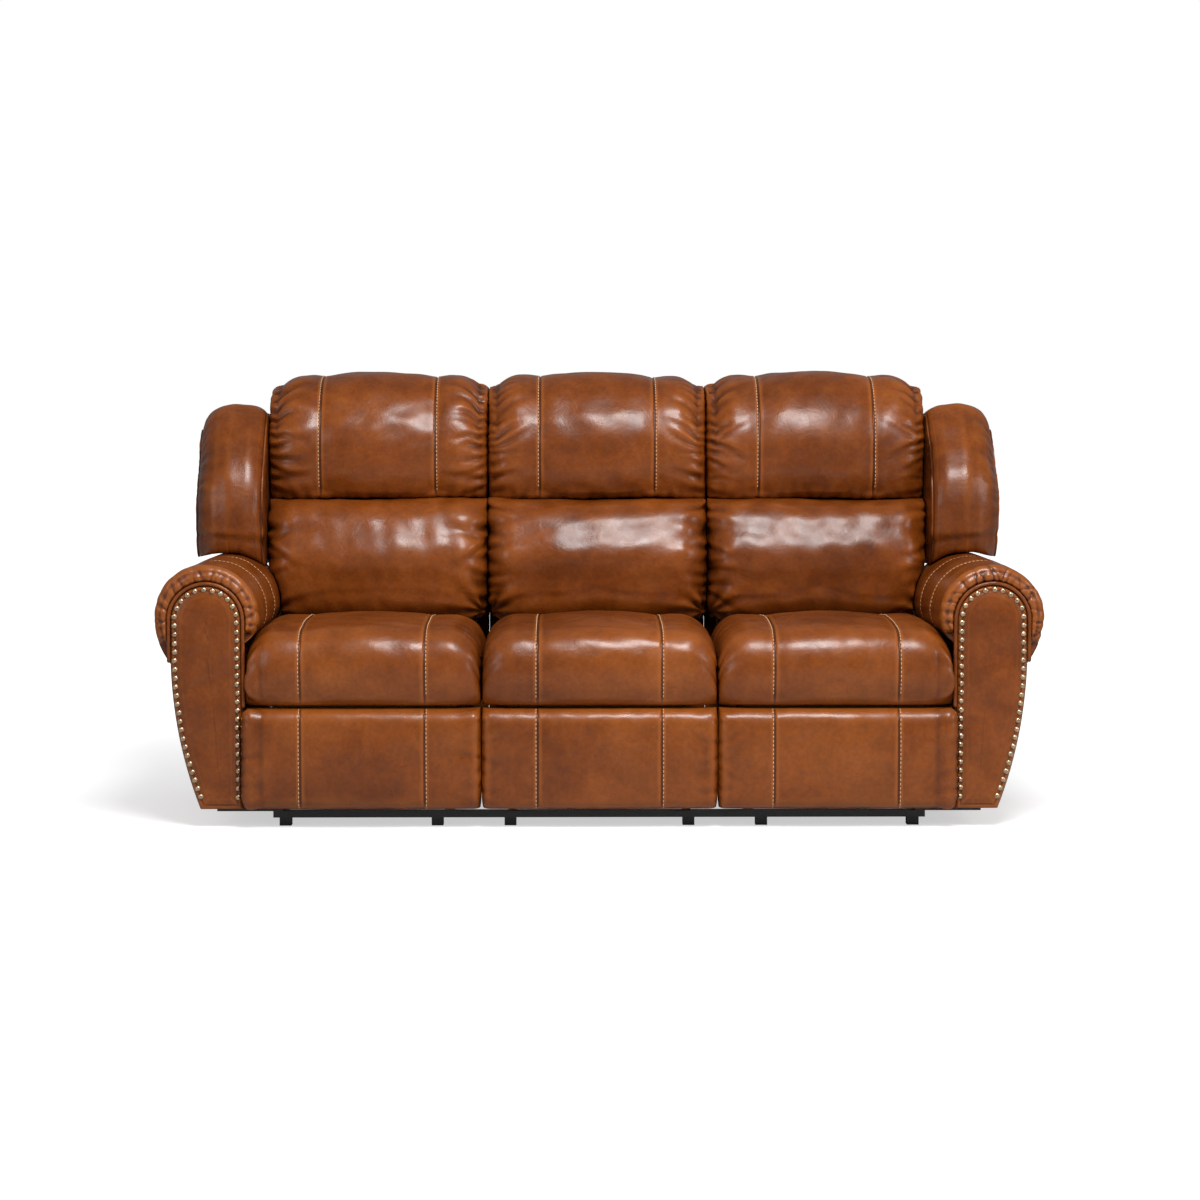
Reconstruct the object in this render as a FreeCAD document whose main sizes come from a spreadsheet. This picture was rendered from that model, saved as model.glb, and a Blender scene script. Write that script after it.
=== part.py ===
import FreeCAD, Part
import math
import os
import re
from FreeCAD import Vector

# Three-seat reclining sofa with rolled arms. Millimetres, +Z up, the front faces -Y.
# The two outer seats recline and open a footrest; the middle seat is fixed.

doc = FreeCAD.newDocument("reclining_sofa")
sizes = doc.addObject("Spreadsheet::Sheet", "sizes")
places = doc.addObject("Spreadsheet::Sheet", "places")

# Driving sizes: name, value and what it measures.
SIZES = [
    ("seat_pitch", 580, "distance between the middles of two seats"),
    ("cushion_gap", 4, "gap between two cushions side by side"),
    ("seam_out", 152, "sewn channel, from the middle of a seat"),
    ("channel_deep", 5, "depth of a sewn channel"),
    ("channel_half", 6, "half width of a sewn channel"),
    ("side_fit", 3, "play between an arm's roll and the back cushion beside it"),
    ("soft_gap", 0.3, "gap that keeps a soft piece off its seat"),
    ("foot_high", 20, "height of a foot"),
    ("foot_wide", 29, "width of a foot"),
    ("rail_high", 16, "height of the base rails"),
    ("rail_wide", 30, "width of the front and rear rails"),
    ("rail_short", 65, "how far the rails end inside the arms' inner faces"),
    ("side_rail_wide", 20, "width of a side rail"),
    ("front_rail_front", -425, "front face of the front rail"),
    ("rear_rail_front", 270, "front face of the rear rail"),
    ("centre_foot_out", 220, "feet of the middle seat, from the middle"),
    ("near_foot_out", 400, "inner feet of an outer seat, from the middle"),
    ("far_foot_out", 775, "outer feet of an outer seat, from the middle"),
    ("plate_thick", 3, "steel plate of the mechanism"),
    ("layer_gap", 1, "gap between two plates that pass each other"),
    ("mech_inner", 225.3, "inner face of the seat plate, from the seat's middle"),
    ("pin_r", 5, "radius of a pivot pin"),
    ("pin_fit", 0.05, "running fit round a pivot pin"),
    ("free_fit", 1.5, "clearance round the two pins that stand for an opened pivot"),
    ("head_r", 8, "radius of a rivet head"),
    ("head_thick", 0.6, "thickness of a rivet head"),
    ("rivet_gap", 0.1, "gap between a rivet head and its link"),
    ("link_half", 9, "half width of a footrest link"),
    ("lobe_r", 11, "radius of a link's round end"),
    ("swing_long", 130, "pivot to pivot of a swing link"),
    ("swing_lean", 12.5, "lean of a swing link at rest, in degrees"),
    ("swing_foot_z", 70, "height of the swing links' lower pivots"),
    ("front_swing_y", -180, "lower pivot of the front swing link"),
    ("rear_swing_y", 60, "lower pivot of the rear swing link"),
    ("upper_pivot_y", -306.2, "footrest's upper link, its pivot on the seat plate"),
    ("upper_pivot_z", 287.7, "height of that pivot"),
    ("lower_pivot_y", -334.2, "footrest's lower link, its pivot on the seat plate"),
    ("lower_pivot_z", 245, "height of that pivot"),
    ("upper_link_long", 201.7, "pivot to pivot of the upper link"),
    ("upper_link_turn", 109.8, "upper link at rest, degrees below level, to the front"),
    ("carry_link_long", 206.4, "pivot to pivot of the long carrying link"),
    ("carry_link_turn", 42.9, "carrying link at rest, degrees above level"),
    ("carry_arm", 38, "short arm of the carrying link"),
    ("guide_pivot_along", 166.7, "guide link's pivot, along the upper link"),
    ("bracket_pivot_rise", 34.3, "upper bracket pivot above the lower one"),
    ("bracket_pivot_ahead", 11.2, "upper bracket pivot ahead of the lower one"),
    ("board_rear", -412, "rear face of the footrest board"),
    ("board_thick", 18, "thickness of the footrest board"),
    ("board_half", 280, "half width of the footrest board"),
    ("board_low", 60, "lower edge of the footrest board"),
    ("board_top", 285, "upper edge of the footrest board"),
    ("foot_pad_front", -497, "face of the footrest pad beside its crown"),
    ("foot_pad_low", 47, "lower edge of the footrest pad"),
    ("foot_pad_top", 294, "upper edge of the footrest pad"),
    ("foot_pad_crown", 8, "crown of the footrest pad"),
    ("frame_thick", 20, "thickness of the wooden seat boards"),
    ("seat_board_low", 215, "lower edge of the seat boards"),
    ("seat_board_top", 296, "upper edge of the seat boards"),
    ("front_board_front", -402, "front face of the seat's front board"),
    ("seat_box_rear", 60, "rear face of the seat's rear board"),
    ("spring_wire_r", 1.9, "radius of the seat spring wire"),
    ("spring_count", 4, "seat springs in one seat"),
    ("spring_wave", 44, "length of one wave of a seat spring"),
    ("spring_half", 24, "half width of a seat spring"),
    ("seat_front", -500, "nose of the seat cushion beside its crown"),
    ("seat_rear", 74, "rear of the seat cushion"),
    ("seat_low", 300.3, "underside of the seat cushion"),
    ("seat_top", 492, "top of the seat cushion beside its crown"),
    ("seat_crown", 14, "crown of the seat cushion"),
    ("back_seat_y", 195, "where the middle seat's full side boards end"),
    ("recline_y", 170, "recline pivot"),
    ("recline_z", 300, "height of the recline pivot"),
    ("rake", 18, "rake of the back at rest, in degrees"),
    ("rear_plane_y", 250.3, "rear of the back at the recline pivot's height"),
    ("back_frame_thick", 60, "thickness of the back frame"),
    ("post_wide", 30, "width of a back post"),
    ("post_gap", 1, "gap between the seat plate and the back post"),
    ("post_top", 790, "top of the back frame, along the rake"),
    ("back_cover_thick", 4, "thickness of the rear cover"),
    ("back_cover_foot", -130, "lower edge of the rear cover, along the rake"),
    ("pivot_lobe_r", 24, "round end of a back post at the pivot"),
    ("lumbar_low", 466, "underside of the lumbar cushion"),
    ("lumbar_top", 786, "top of the lumbar cushion"),
    ("lumbar_front", 34, "front of the lumbar cushion beside its crown"),
    ("lumbar_crown", 10, "crown of the lumbar cushion"),
    ("pillow_top", 1100, "top of the head pillow beside its crown"),
    ("pillow_front", 112, "front of the head pillow beside its crown"),
    ("pillow_crown", 12, "crown of the head pillow"),
    ("wing_gap", 2, "gap between a wing and the edge of its seat"),
    ("wing_wide", 183, "width of a wing"),
    ("wing_low", 656, "underside of a wing"),
    ("wing_top", 1037, "top of a wing"),
    ("wing_front", 5, "front of a wing at its widest"),
    ("arm_front", -465, "front face of an arm"),
    ("arm_rear", 300, "rear face of an arm"),
    ("arm_gap", 4, "gap between an arm and the edge of its seat"),
    ("arm_wide", 177, "width of an arm under its roll"),
    ("arm_low", 45, "underside of an arm"),
    ("arm_foot_in", 70, "how far the outer face draws in at its underside"),
    ("arm_taper_in", 23, "how far it draws in half way down"),
    ("arm_taper_mid_z", 205, "height of that place"),
    ("roll_over", 89, "middle of the roll, out from the arm's inner face"),
    ("roll_z", 518, "height of the roll's middle"),
    ("roll_r", 130, "radius of the roll"),
    ("roll_seat_z", 402, "underside of the roll"),
    ("roll_rear_y", 268, "rear end of the roll"),
    ("roll_tail_y", 160, "where the roll starts to taper"),
    ("roll_tail_r", 100, "radius of the roll at its rear end"),
    ("roll_tail_z", 470, "height of the roll's middle at its rear end"),
    ("panel_thick", 18, "thickness of the padded front panel"),
    ("arch_r", 86, "radius of the front panel's arch"),
    ("arch_z", 510, "height of the arch's middle"),
    ("welt_r", 4, "radius of the welt"),
    ("welt_low", 300, "lower end of the welt's inner leg"),
    ("skin", 6, "thickness of the arm's side panels"),
    ("nail_r", 7, "radius of a nailhead"),
    ("nail_high", 4.5, "height of a nailhead"),
    ("nail_pitch", 21, "distance between two nailheads"),
    ("nail_inset", 10, "nailheads, in from the panel's edge"),
    ("cup_y", -200, "middle of the release cup"),
    ("cup_z", 330, "height of the release cup"),
    ("cup_long", 110, "length of the release cup"),
    ("cup_high", 56, "height of the release cup"),
    ("cup_deep", 34, "depth of the release cup"),
    ("cup_wall", 4, "wall of the release cup"),
    ("lever_thick", 5, "thickness of the release lever"),
    ("cable_r", 3, "radius of the release cable"),
]

# Places worked out from the driving sizes.
PLACES = [
    ("cushion_half", "sizes.seat_pitch / 2 - sizes.cushion_gap / 2"),
    ("seats_edge", "1.5 * sizes.seat_pitch"),
    ("arm_inner", "places.seats_edge + sizes.arm_gap"),
    ("arm_outer", "places.arm_inner + sizes.arm_wide"),
    ("arm_foot_outer", "places.arm_outer - sizes.arm_foot_in"),
    ("arm_taper_mid_out", "places.arm_outer - sizes.arm_taper_in"),
    ("roll_out", "places.arm_inner + sizes.roll_over"),
    ("wing_inner", "places.seats_edge + sizes.wing_gap"),
    ("wing_outer", "places.wing_inner + sizes.wing_wide"),
    ("rail_half_long", "places.seats_edge - sizes.rail_short"),
    ("rail_top", "sizes.foot_high + sizes.rail_high"),
    ("front_rail_rear", "sizes.front_rail_front + sizes.rail_wide"),
    ("rear_rail_rear", "sizes.rear_rail_front + sizes.rail_wide"),
    ("layer", "sizes.plate_thick + sizes.layer_gap"),
    ("swing_in", "sizes.mech_inner - places.layer"),
    ("upright_in", "sizes.mech_inner - 2 * places.layer"),
    ("side_rail_in", "places.upright_in - sizes.side_rail_wide"),
    ("plate_out", "sizes.mech_inner + sizes.plate_thick"),
    ("lower_in", "sizes.mech_inner + places.layer"),
    ("upper_in", "sizes.mech_inner + 2 * places.layer"),
    ("carry_in", "sizes.mech_inner + 3 * places.layer"),
    ("guide_in", "sizes.mech_inner + 4 * places.layer"),
    ("swing_back", "sizes.swing_long * sin(sizes.swing_lean)"),
    ("swing_top_z", "sizes.swing_foot_z + sizes.swing_long * cos(sizes.swing_lean)"),
    ("front_swing_top_y", "sizes.front_swing_y + places.swing_back"),
    ("rear_swing_top_y", "sizes.rear_swing_y + places.swing_back"),
    ("elbow_y", "sizes.upper_pivot_y - sizes.upper_link_long * cos(sizes.upper_link_turn)"),
    ("elbow_z", "sizes.upper_pivot_z - sizes.upper_link_long * sin(sizes.upper_link_turn)"),
    ("guide_y", "sizes.upper_pivot_y - sizes.guide_pivot_along * cos(sizes.upper_link_turn)"),
    ("guide_z", "sizes.upper_pivot_z - sizes.guide_pivot_along * sin(sizes.upper_link_turn)"),
    ("heel_y", "places.elbow_y - sizes.carry_arm * sin(sizes.carry_link_turn)"),
    ("heel_z", "places.elbow_z - sizes.carry_arm * cos(sizes.carry_link_turn)"),
    ("toe_y", "places.elbow_y - sizes.carry_link_long * cos(sizes.carry_link_turn)"),
    ("toe_z", "places.elbow_z + sizes.carry_link_long * sin(sizes.carry_link_turn)"),
    ("ball_y", "places.toe_y - sizes.bracket_pivot_ahead"),
    ("ball_z", "places.toe_z + sizes.bracket_pivot_rise"),
    ("seat_box_half", "sizes.mech_inner - sizes.soft_gap"),
    ("seat_box_inner", "places.seat_box_half - sizes.frame_thick"),
    ("board_front", "sizes.board_rear - sizes.board_thick"),
    ("post_in", "places.plate_out + sizes.post_gap"),
    ("post_out", "places.post_in + sizes.post_wide"),
    ("spring_z", "sizes.seat_low - sizes.soft_gap - sizes.spring_wire_r"),
    ("front_panel_rear", "sizes.arm_front + sizes.panel_thick"),
]


def fill(sheet, rows, formula):
    """Writes one named value in each row of a sheet."""
    for row, (alias, value, *words) in enumerate(rows, start=1):
        sheet.set(f"A{row}", words[0] if words else alias)
        sheet.set(f"B{row}", f"={value}" if formula else str(value))
        sheet.setAlias(f"B{row}", alias)


fill(sizes, SIZES, False)
fill(places, [(alias, rule.replace("places.", "")) for alias, rule in PLACES], True)
doc.recompute()
SIZE_NAMES = {row[0] for row in SIZES}
PLACE_NAMES = {row[0] for row in PLACES}


def val(alias):
    """Reads one value from the sheets."""
    return float((sizes if alias in SIZE_NAMES else places).get(alias))


def expr(text):
    """Puts the sheet's name before each alias in an expression."""
    def full(found):
        word = found.group(0)
        if word in SIZE_NAMES:
            return f"sizes.{word}"
        return f"places.{word}" if word in PLACE_NAMES else word
    return re.sub(r"[a-z_]+", full, str(text))


# Shapes from which the pieces are made. A place is an expression over the two sheets.


def link_props(thing, **rules):
    """Binds properties of an object to expressions; two underscores stand for a dot."""
    for path, rule in rules.items():
        thing.setExpression(path.replace("__", "."), expr(rule))
    return thing


def block(name, x, y, z):
    """A block between two places on each axis."""
    return link_props(doc.addObject("Part::Box", name),
                      Length=f"({x[1]}) - ({x[0]})", Width=f"({y[1]}) - ({y[0]})",
                      Height=f"({z[1]}) - ({z[0]})", Placement__Base__x=x[0],
                      Placement__Base__y=y[0], Placement__Base__z=z[0])


def bar(name, x, y, z, radius):
    """A round bar along X between two places."""
    thing = doc.addObject("Part::Cylinder", name)
    thing.Placement = FreeCAD.Placement(Vector(), FreeCAD.Rotation(Vector(0, 1, 0), 90))
    return link_props(thing, Radius=radius, Height=f"({x[1]}) - ({x[0]})",
                      Placement__Base__x=x[0], Placement__Base__y=y, Placement__Base__z=z)


def joined(name, things):
    """Several touching shapes as one solid."""
    thing = doc.addObject("Part::MultiFuse", name)
    thing.Shapes = things
    thing.Refine = True
    return thing


def cut(name, base, tool):
    """One shape with another taken out of it."""
    thing = doc.addObject("Part::Cut", name)
    thing.Base = base
    thing.Tool = tool
    return thing


def group(name, things):
    """Separate solids kept together."""
    thing = doc.addObject("Part::Compound", name)
    thing.Links = things
    return thing


def mirrored(name, source):
    """The same shape on the other side of the plane X = 0."""
    thing = doc.addObject("Part::Mirroring", name)
    thing.Source = source
    thing.Normal = Vector(1, 0, 0)
    return thing


def both_sides(name, thing):
    """A shape and its mirror image on the seat's other side."""
    return group(name, [thing, mirrored(name + "_other", thing)])


def lathe_pin(name, inner, outer, y, z, inward=False):
    """A pivot pin along X, with a thin rivet head past its outer or its inner end."""
    shank = (f"{inner} - rivet_gap", outer) if inward else (inner, f"{outer} + rivet_gap")
    head_in = f"{inner} - rivet_gap - head_thick" if inward else f"{outer} + rivet_gap"
    head = bar(name + "_head", (head_in, f"{head_in} + head_thick"), y, z, "head_r")
    return joined(name, [bar(name + "_shank", shank, y, z, "pin_r"), head])


def link(name, inner, p, q, bores, half="link_half", lobe="lobe_r"):
    """A flat steel link from p to q with round ends; each bore is a place and a radius."""
    x = (inner, f"{inner} + plate_thick")
    dy, dz = f"(({q[0]}) - ({p[0]}))", f"(({q[1]}) - ({p[1]}))"
    angle = f"atan2({dz}; {dy})"
    strip = doc.addObject("Part::Box", name + "_strip")
    strip.Placement = FreeCAD.Placement(Vector(), FreeCAD.Rotation(Vector(1, 0, 0), 30))
    link_props(strip, Length="plate_thick", Width=f"hypot({dy}; {dz})", Height=f"2 * ({half})",
               Placement__Base__x=inner, Placement__Rotation__Angle=angle,
               Placement__Base__y=f"({p[0]}) + ({half}) * sin({angle})",
               Placement__Base__z=f"({p[1]}) - ({half}) * cos({angle})")
    ends = [bar(f"{name}_end{i}", x, y, z, lobe) for i, (y, z) in enumerate((p, q))]
    return drilled(name, [strip] + ends, x, bores)


def drilled(name, things, x, bores):
    """A fused plate with round holes through it."""
    body = joined(name + "_blank", things)
    holes = [bar(f"{name}_bore{i}", (f"{x[0]} - 1", f"{x[1]} + 1"), y, z, radius)
             for i, (y, z, radius) in enumerate(bores)]
    if not holes:
        return body
    tool = joined(name + "_bores", holes) if len(holes) > 1 else holes[0]
    return cut(name, body, tool)


RUNNING = "pin_r + pin_fit"
FREE = "pin_r + free_fit"
nodes = {}


def add_node(name, thing, shift=None):
    """Makes a finished node, moved along X where it belongs to an outer seat."""
    whole = group(name, [thing])
    whole.Label = name
    if shift:
        link_props(whole, Placement__Base__x=shift)
    nodes[name] = whole
    return whole


def add_outer(name, thing):
    """Makes the right-hand node of an outer seat and its mirror image on the left."""
    right = add_node("right_" + name, thing, "seat_pitch")
    add_node("left_" + name, mirrored("left_" + name + "_mirror", right))


def add_arm(name, thing):
    """Makes the right-hand node of an arm and its mirror image on the left."""
    right = add_node("right_" + name, thing)
    add_node("left_" + name, mirrored("left_" + name + "_mirror", right))


def shaped(name, shape):
    """A piece whose shape is worked out from the sheets' values."""
    thing = doc.addObject("Part::Feature", name)
    thing.Shape = shape
    return thing


def section(x, corners):
    """A closed wire at one X: each corner is y, z and the bulge of the side that follows."""
    edges = []
    for i, (y, z, bulge) in enumerate(corners):
        y2, z2, _ = corners[(i + 1) % len(corners)]
        length = math.hypot(y2 - y, z2 - z)
        p, q = Vector(x, y, z), Vector(x, y2, z2)
        if abs(bulge) < 0.01:
            edges.append(Part.LineSegment(p, q).toShape())
            continue
        out = Vector(0, (z2 - z) / length, -(y2 - y) / length)
        edges.append(Part.Arc(p, (p + q) / 2 + out * bulge, q).toShape())
    return Part.Wire(edges)


def cushion(name, half, corner, seam, crown, outline):
    """A crowned pad along X: its sides draw in towards both ends and it dips at each seam."""
    steps = [(half, 1.0), (half - 0.12 * corner, 0.62), (half - 0.42 * corner, 0.25), (half - corner, 0.0)]
    rows = [(x, share * corner) for x, share in steps]
    if seam:
        side, deep = val("channel_half"), val("channel_deep")
        rows += [(seam + side, 0.0), (seam, deep), (seam - side, 0.0)]
    rows += [(0.0, -crown)]
    rows += [(-x, inset) for x, inset in reversed(rows[:-1])]
    wires = [section(x, outline(inset)) for x, inset in rows]
    return shaped(name, Part.makeLoft(wires, True, True))


# Base: rails, the uprights that carry the swing links, arm straps and feet.


def make_base():
    front_y = ("front_rail_front", "front_rail_rear")
    rear_y = ("rear_rail_front", "rear_rail_rear")
    high = ("foot_high", "rail_top")
    rails = [block("front_rail", ("-rail_half_long", "rail_half_long"), front_y, high),
             block("rear_rail", ("-rail_half_long", "rail_half_long"), rear_y, high)]
    straps = []
    for row, y in (("front", front_y), ("rear", rear_y)):
        strap = block(row + "_strap", ("rail_half_long - 25", "roll_out - 20"), y, ("rail_top", "arm_low"))
        straps += [strap, mirrored(row + "_strap_left", strap)]
    side = [block("side_rail", ("side_rail_in", "upright_in"), ("front_rail_rear", "rear_rail_front"), high)]
    x = ("upright_in", "upright_in + plate_thick")
    for row in ("front", "rear"):
        y = f"{row}_swing_y"
        side.append(block(row + "_upright", x, (f"{y} - 20", f"{y} + 20"), ("foot_high", "swing_foot_z")))
        side.append(bar(row + "_upright_end", x, y, "swing_foot_z", "2 * lobe_r - 2"))
        side.append(lathe_pin(row + "_swing_pin", "upright_in", "swing_in + plate_thick",
                              y, "swing_foot_z"))
    right = link_props(both_sides("side_rails", joined("one_side_rail", side)), Placement__Base__x="seat_pitch")
    left = mirrored("left_side_rails", right)
    add_node("base_rails", joined("rail_frame", rails + straps + [right, left]))

    feet = []
    for y_name, y in (("front", front_y), ("rear", rear_y)):
        for i, out in enumerate(("centre_foot_out", "near_foot_out", "far_foot_out")):
            foot = block(f"{y_name}_foot{i}", (f"{out} - foot_wide / 2", f"{out} + foot_wide / 2"), y, ("0", "foot_high"))
            feet += [foot, mirrored(f"{y_name}_foot{i}_left", foot)]
    add_node("feet", group("all_feet", feet))


# Steel links of an outer seat: swing links below it, footrest links in front.


def make_links():
    for row in ("front", "rear"):
        foot, top = (f"{row}_swing_y", "swing_foot_z"), (f"{row}_swing_top_y", "swing_top_z")
        swing = link(row + "_swing", "swing_in", foot, top, [(*foot, RUNNING), (*top, RUNNING)])
        add_outer(row + "_swing_links", both_sides(row + "_swings", swing))

    upper, lower = ("upper_pivot_y", "upper_pivot_z"), ("lower_pivot_y", "lower_pivot_z")
    elbow, heel, guide = ("elbow_y", "elbow_z"), ("heel_y", "heel_z"), ("guide_y", "guide_z")
    toe, ball = ("toe_y", "toe_z"), ("ball_y", "ball_z")

    low = link("lower", "lower_in", lower, heel, [(*lower, RUNNING), (*heel, FREE)])
    add_outer("lower_footrest_links", both_sides("lowers", low))

    top = link("upper", "upper_in", upper, elbow, [(*upper, RUNNING)])
    elbow_pin = lathe_pin("elbow_pin", "upper_in", "carry_in + plate_thick", *elbow)
    guide_pin = lathe_pin("guide_pin", "upper_in", "guide_in + plate_thick", *guide)
    add_outer("upper_footrest_links", both_sides("uppers", joined("upper_whole", [top, elbow_pin, guide_pin])))

    carry = link("carry", "carry_in", elbow, toe, [(*elbow, RUNNING), (*toe, RUNNING)])
    arm = link("carry_arm_plate", "carry_in", elbow, heel, [(*elbow, RUNNING)])
    heel_pin = lathe_pin("heel_pin", "lower_in", "carry_in + plate_thick", *heel)
    add_outer("carrying_footrest_links", both_sides("carries", joined("carry_whole", [carry, arm, heel_pin])))

    rod = link("guide", "guide_in", guide, ball, [(*guide, RUNNING), (*ball, FREE)])
    add_outer("guide_footrest_links", both_sides("guides", rod))


# Footrest: a board on two steel brackets, with a padded cover.


def make_footrest():
    x = ("upper_in", "upper_in + plate_thick")
    web = block("bracket_web", x, ("board_rear", "toe_y + lobe_r"), ("toe_z - lobe_r", "ball_z + lobe_r"))
    flange = block("bracket_flange", ("upper_in - 32", "upper_in"), ("board_rear", "board_rear + plate_thick"),
                   ("toe_z - lobe_r", "ball_z + lobe_r"))
    toe_pin = lathe_pin("toe_pin", "upper_in", "carry_in + plate_thick", "toe_y", "toe_z")
    ball_pin = lathe_pin("ball_pin", "upper_in", "guide_in + plate_thick", "ball_y", "ball_z")
    bracket = joined("bracket", [web, flange, toe_pin, ball_pin])
    board = block("footrest_plank", ("-board_half", "board_half"), ("board_front", "board_rear"), ("board_low", "board_top"))
    add_outer("footrest_brackets", both_sides("brackets", bracket))
    add_outer("footrest_board", board)


def foot_pad(name, rear, low):
    """The footrest's padded face, wrapped a little under the board."""
    front, top = val("foot_pad_front"), val("foot_pad_top")

    def outline(inset):
        return [(front + 22 + inset, low + 0.2 * inset, 2), (rear, low + 0.2 * inset, 0), (rear, top - 0.2 * inset, 3),
                (front + 20 + inset, top - 0.2 * inset, 5), (front + inset, top - 26, 3), (front + inset, low + 24, 5)]
    return cushion(name, val("cushion_half"), 22, val("seam_out"), val("foot_pad_crown"), outline)


# Seats: a wooden box with springs and a cushion, between two steel plates on an outer seat.


def make_plates():
    x = ("mech_inner", "plate_out")
    things = [block("plate_strip", x, ("upper_pivot_y - lobe_r", "recline_y"), ("upper_pivot_z - 30", "seat_board_top")),
              block("plate_nose", x, ("lower_pivot_y - 4", "upper_pivot_y"), ("lower_pivot_z", "seat_board_top")),
              bar("plate_nose_end", x, "lower_pivot_y", "lower_pivot_z", "lobe_r"),
              bar("plate_tail", x, "recline_y", "recline_z", "pivot_lobe_r")]
    for row in ("front", "rear"):
        y = f"{row}_swing_top_y"
        things.append(block(row + "_drop", x, (f"{y} - 14", f"{y} + 14"), ("swing_top_z", "upper_pivot_z - 20")))
        things.append(bar(row + "_drop_end", x, y, "swing_top_z", "lobe_r + 3"))
        things.append(lathe_pin(row + "_hanger_pin", "swing_in", "plate_out", y, "swing_top_z", inward=True))
    things.append(lathe_pin("lower_pin", "mech_inner", "lower_in + plate_thick", "lower_pivot_y", "lower_pivot_z"))
    things.append(lathe_pin("upper_pin", "mech_inner", "upper_in + plate_thick", "upper_pivot_y", "upper_pivot_z"))
    things.append(lathe_pin("recline_pin", "mech_inner", "post_out", "recline_y", "recline_z"))
    add_outer("mechanism_plates", both_sides("plates", joined("plate", things)))


def seat_box(name, low, rear):
    """Two side boards with a front and a rear board between them."""
    high = (low, "seat_board_top")
    side = block(name + "_side", ("seat_box_inner", "seat_box_half"), ("front_board_front", rear), high)
    front = block(name + "_front", ("-seat_box_inner", "seat_box_inner"),
                  ("front_board_front", "front_board_front + frame_thick"), ("seat_board_low", "seat_board_top"))
    back = block(name + "_rear", ("-seat_box_inner", "seat_box_inner"),
                 ("seat_box_rear - frame_thick", "seat_box_rear"), ("seat_board_low", "seat_board_top"))
    return joined(name, [side, mirrored(name + "_side_left", side), front, back])


def seat_springs(name):
    """Sinuous springs from the front board to the rear board, each one bent wire."""
    count, run = int(val("spring_count")), val("spring_wave") / 2
    z, half, bend = val("spring_z"), val("spring_half") - run / 2, run / 2
    start, stop = val("front_board_front") + 8, val("seat_box_rear") - 8
    turns = int((stop - start) / run)
    wires = []
    for i in range(count):
        middle = (i + 0.5 - count / 2) * 2 * val("seat_box_inner") / count
        first_side = -1 if middle < 0 else 1
        edges, side = [], first_side
        for k in range(turns + 1):
            y = start + k * run
            edges.append(Part.LineSegment(Vector(middle + side * half, y, z), Vector(middle - side * half, y, z)).toShape())
            side = -side
            if k < turns:
                edges.append(Part.Arc(Vector(middle + side * half, y, z),
                                      Vector(middle + side * (half + bend), y + bend, z),
                                      Vector(middle + side * half, y + run, z)).toShape())
        first = Vector(middle + first_side * half, start, z)
        ring = Part.Wire(Part.makeCircle(val("spring_wire_r"), first, Vector(1, 0, 0)))
        wires.append(Part.Wire(edges).makePipeShell([ring], True, False))
    return shaped(name, Part.makeCompound(wires))


def seat_cushion(name):
    """Waterfall seat cushion with a rolled nose and three channels."""
    front, rear, low, top = val("seat_front"), val("seat_rear"), val("seat_low"), val("seat_top")

    def outline(inset):
        drop = top - 1.05 * inset
        return [(front + 24 + 0.6 * inset, low, 0), (rear - 6 - 0.2 * inset, low, 6), (rear - 8 - 0.2 * inset, drop - 30, 8),
                (rear - 40, drop, 10), (front + 58, drop, 14), (front + 0.6 * inset, drop - 56, 12)]
    return cushion(name, val("cushion_half"), 80, val("seam_out"), val("seat_crown") - 10, outline)


# Backs: a raked frame and rear cover, a lumbar cushion and a head pillow.


def raked(name, thing):
    """Turns a piece built upright back by the rake, about the rear plane's foot."""
    whole = group(name, [thing])
    whole.Placement = FreeCAD.Placement(Vector(), FreeCAD.Rotation(Vector(-1, 0, 0), 18))
    return link_props(whole, Placement__Rotation__Angle="rake", Placement__Base__y="rear_plane_y",
                      Placement__Base__z="recline_z")


def back_frame(name, pivot):
    """Two posts and three rails; an outer back's posts have a round end with a pivot hole."""
    y = ("-back_frame_thick", "-back_cover_thick")
    x = ("post_in", "post_out")
    lobe_y, lobe_z = "(recline_y - rear_plane_y) * cos(rake)", "(recline_y - rear_plane_y) * sin(rake)"
    post = block(name + "_post", x, y, (f"{lobe_z} - 15", "post_top"))
    if pivot:
        knee = bar(name + "_knee", x, lobe_y, lobe_z, "pivot_lobe_r")
        post = drilled(name + "_post_whole", [post, knee], x, [(lobe_y, lobe_z, RUNNING)])
    things = [post, mirrored(name + "_post_left", post)]
    for i, low in enumerate(("60", "post_top / 2 - 30", "post_top - 40")):
        things.append(block(f"{name}_rail{i}", ("-post_in", "post_in"), y, (low, f"{low} + 40")))
    return raked(name, joined(name + "_upright", things))


def back_cover(name, wing):
    """The flat leather rear; on an outer back it runs on behind the wing."""
    y = ("-back_cover_thick", "0")
    sheet = block(name + "_sheet", ("-cushion_half", "cushion_half"), y, ("back_cover_foot", "post_top + 46"))
    if not wing:
        return raked(name, sheet)
    tab = block(name + "_tab", ("cushion_half", "wing_outer - seat_pitch - 12"), y,
                ("(wing_low - recline_z) / cos(rake) + 10", "(wing_top - recline_z) / cos(rake) - 34"))
    return raked(name, joined(name + "_whole", [sheet, tab]))


def back_y(z, depth):
    """The place, at one height, of a plane that lies so deep in front of the rear plane."""
    rake = math.radians(val("rake"))
    return val("rear_plane_y") + (z - val("recline_z")) * math.tan(rake) - depth / math.cos(rake)


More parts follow.
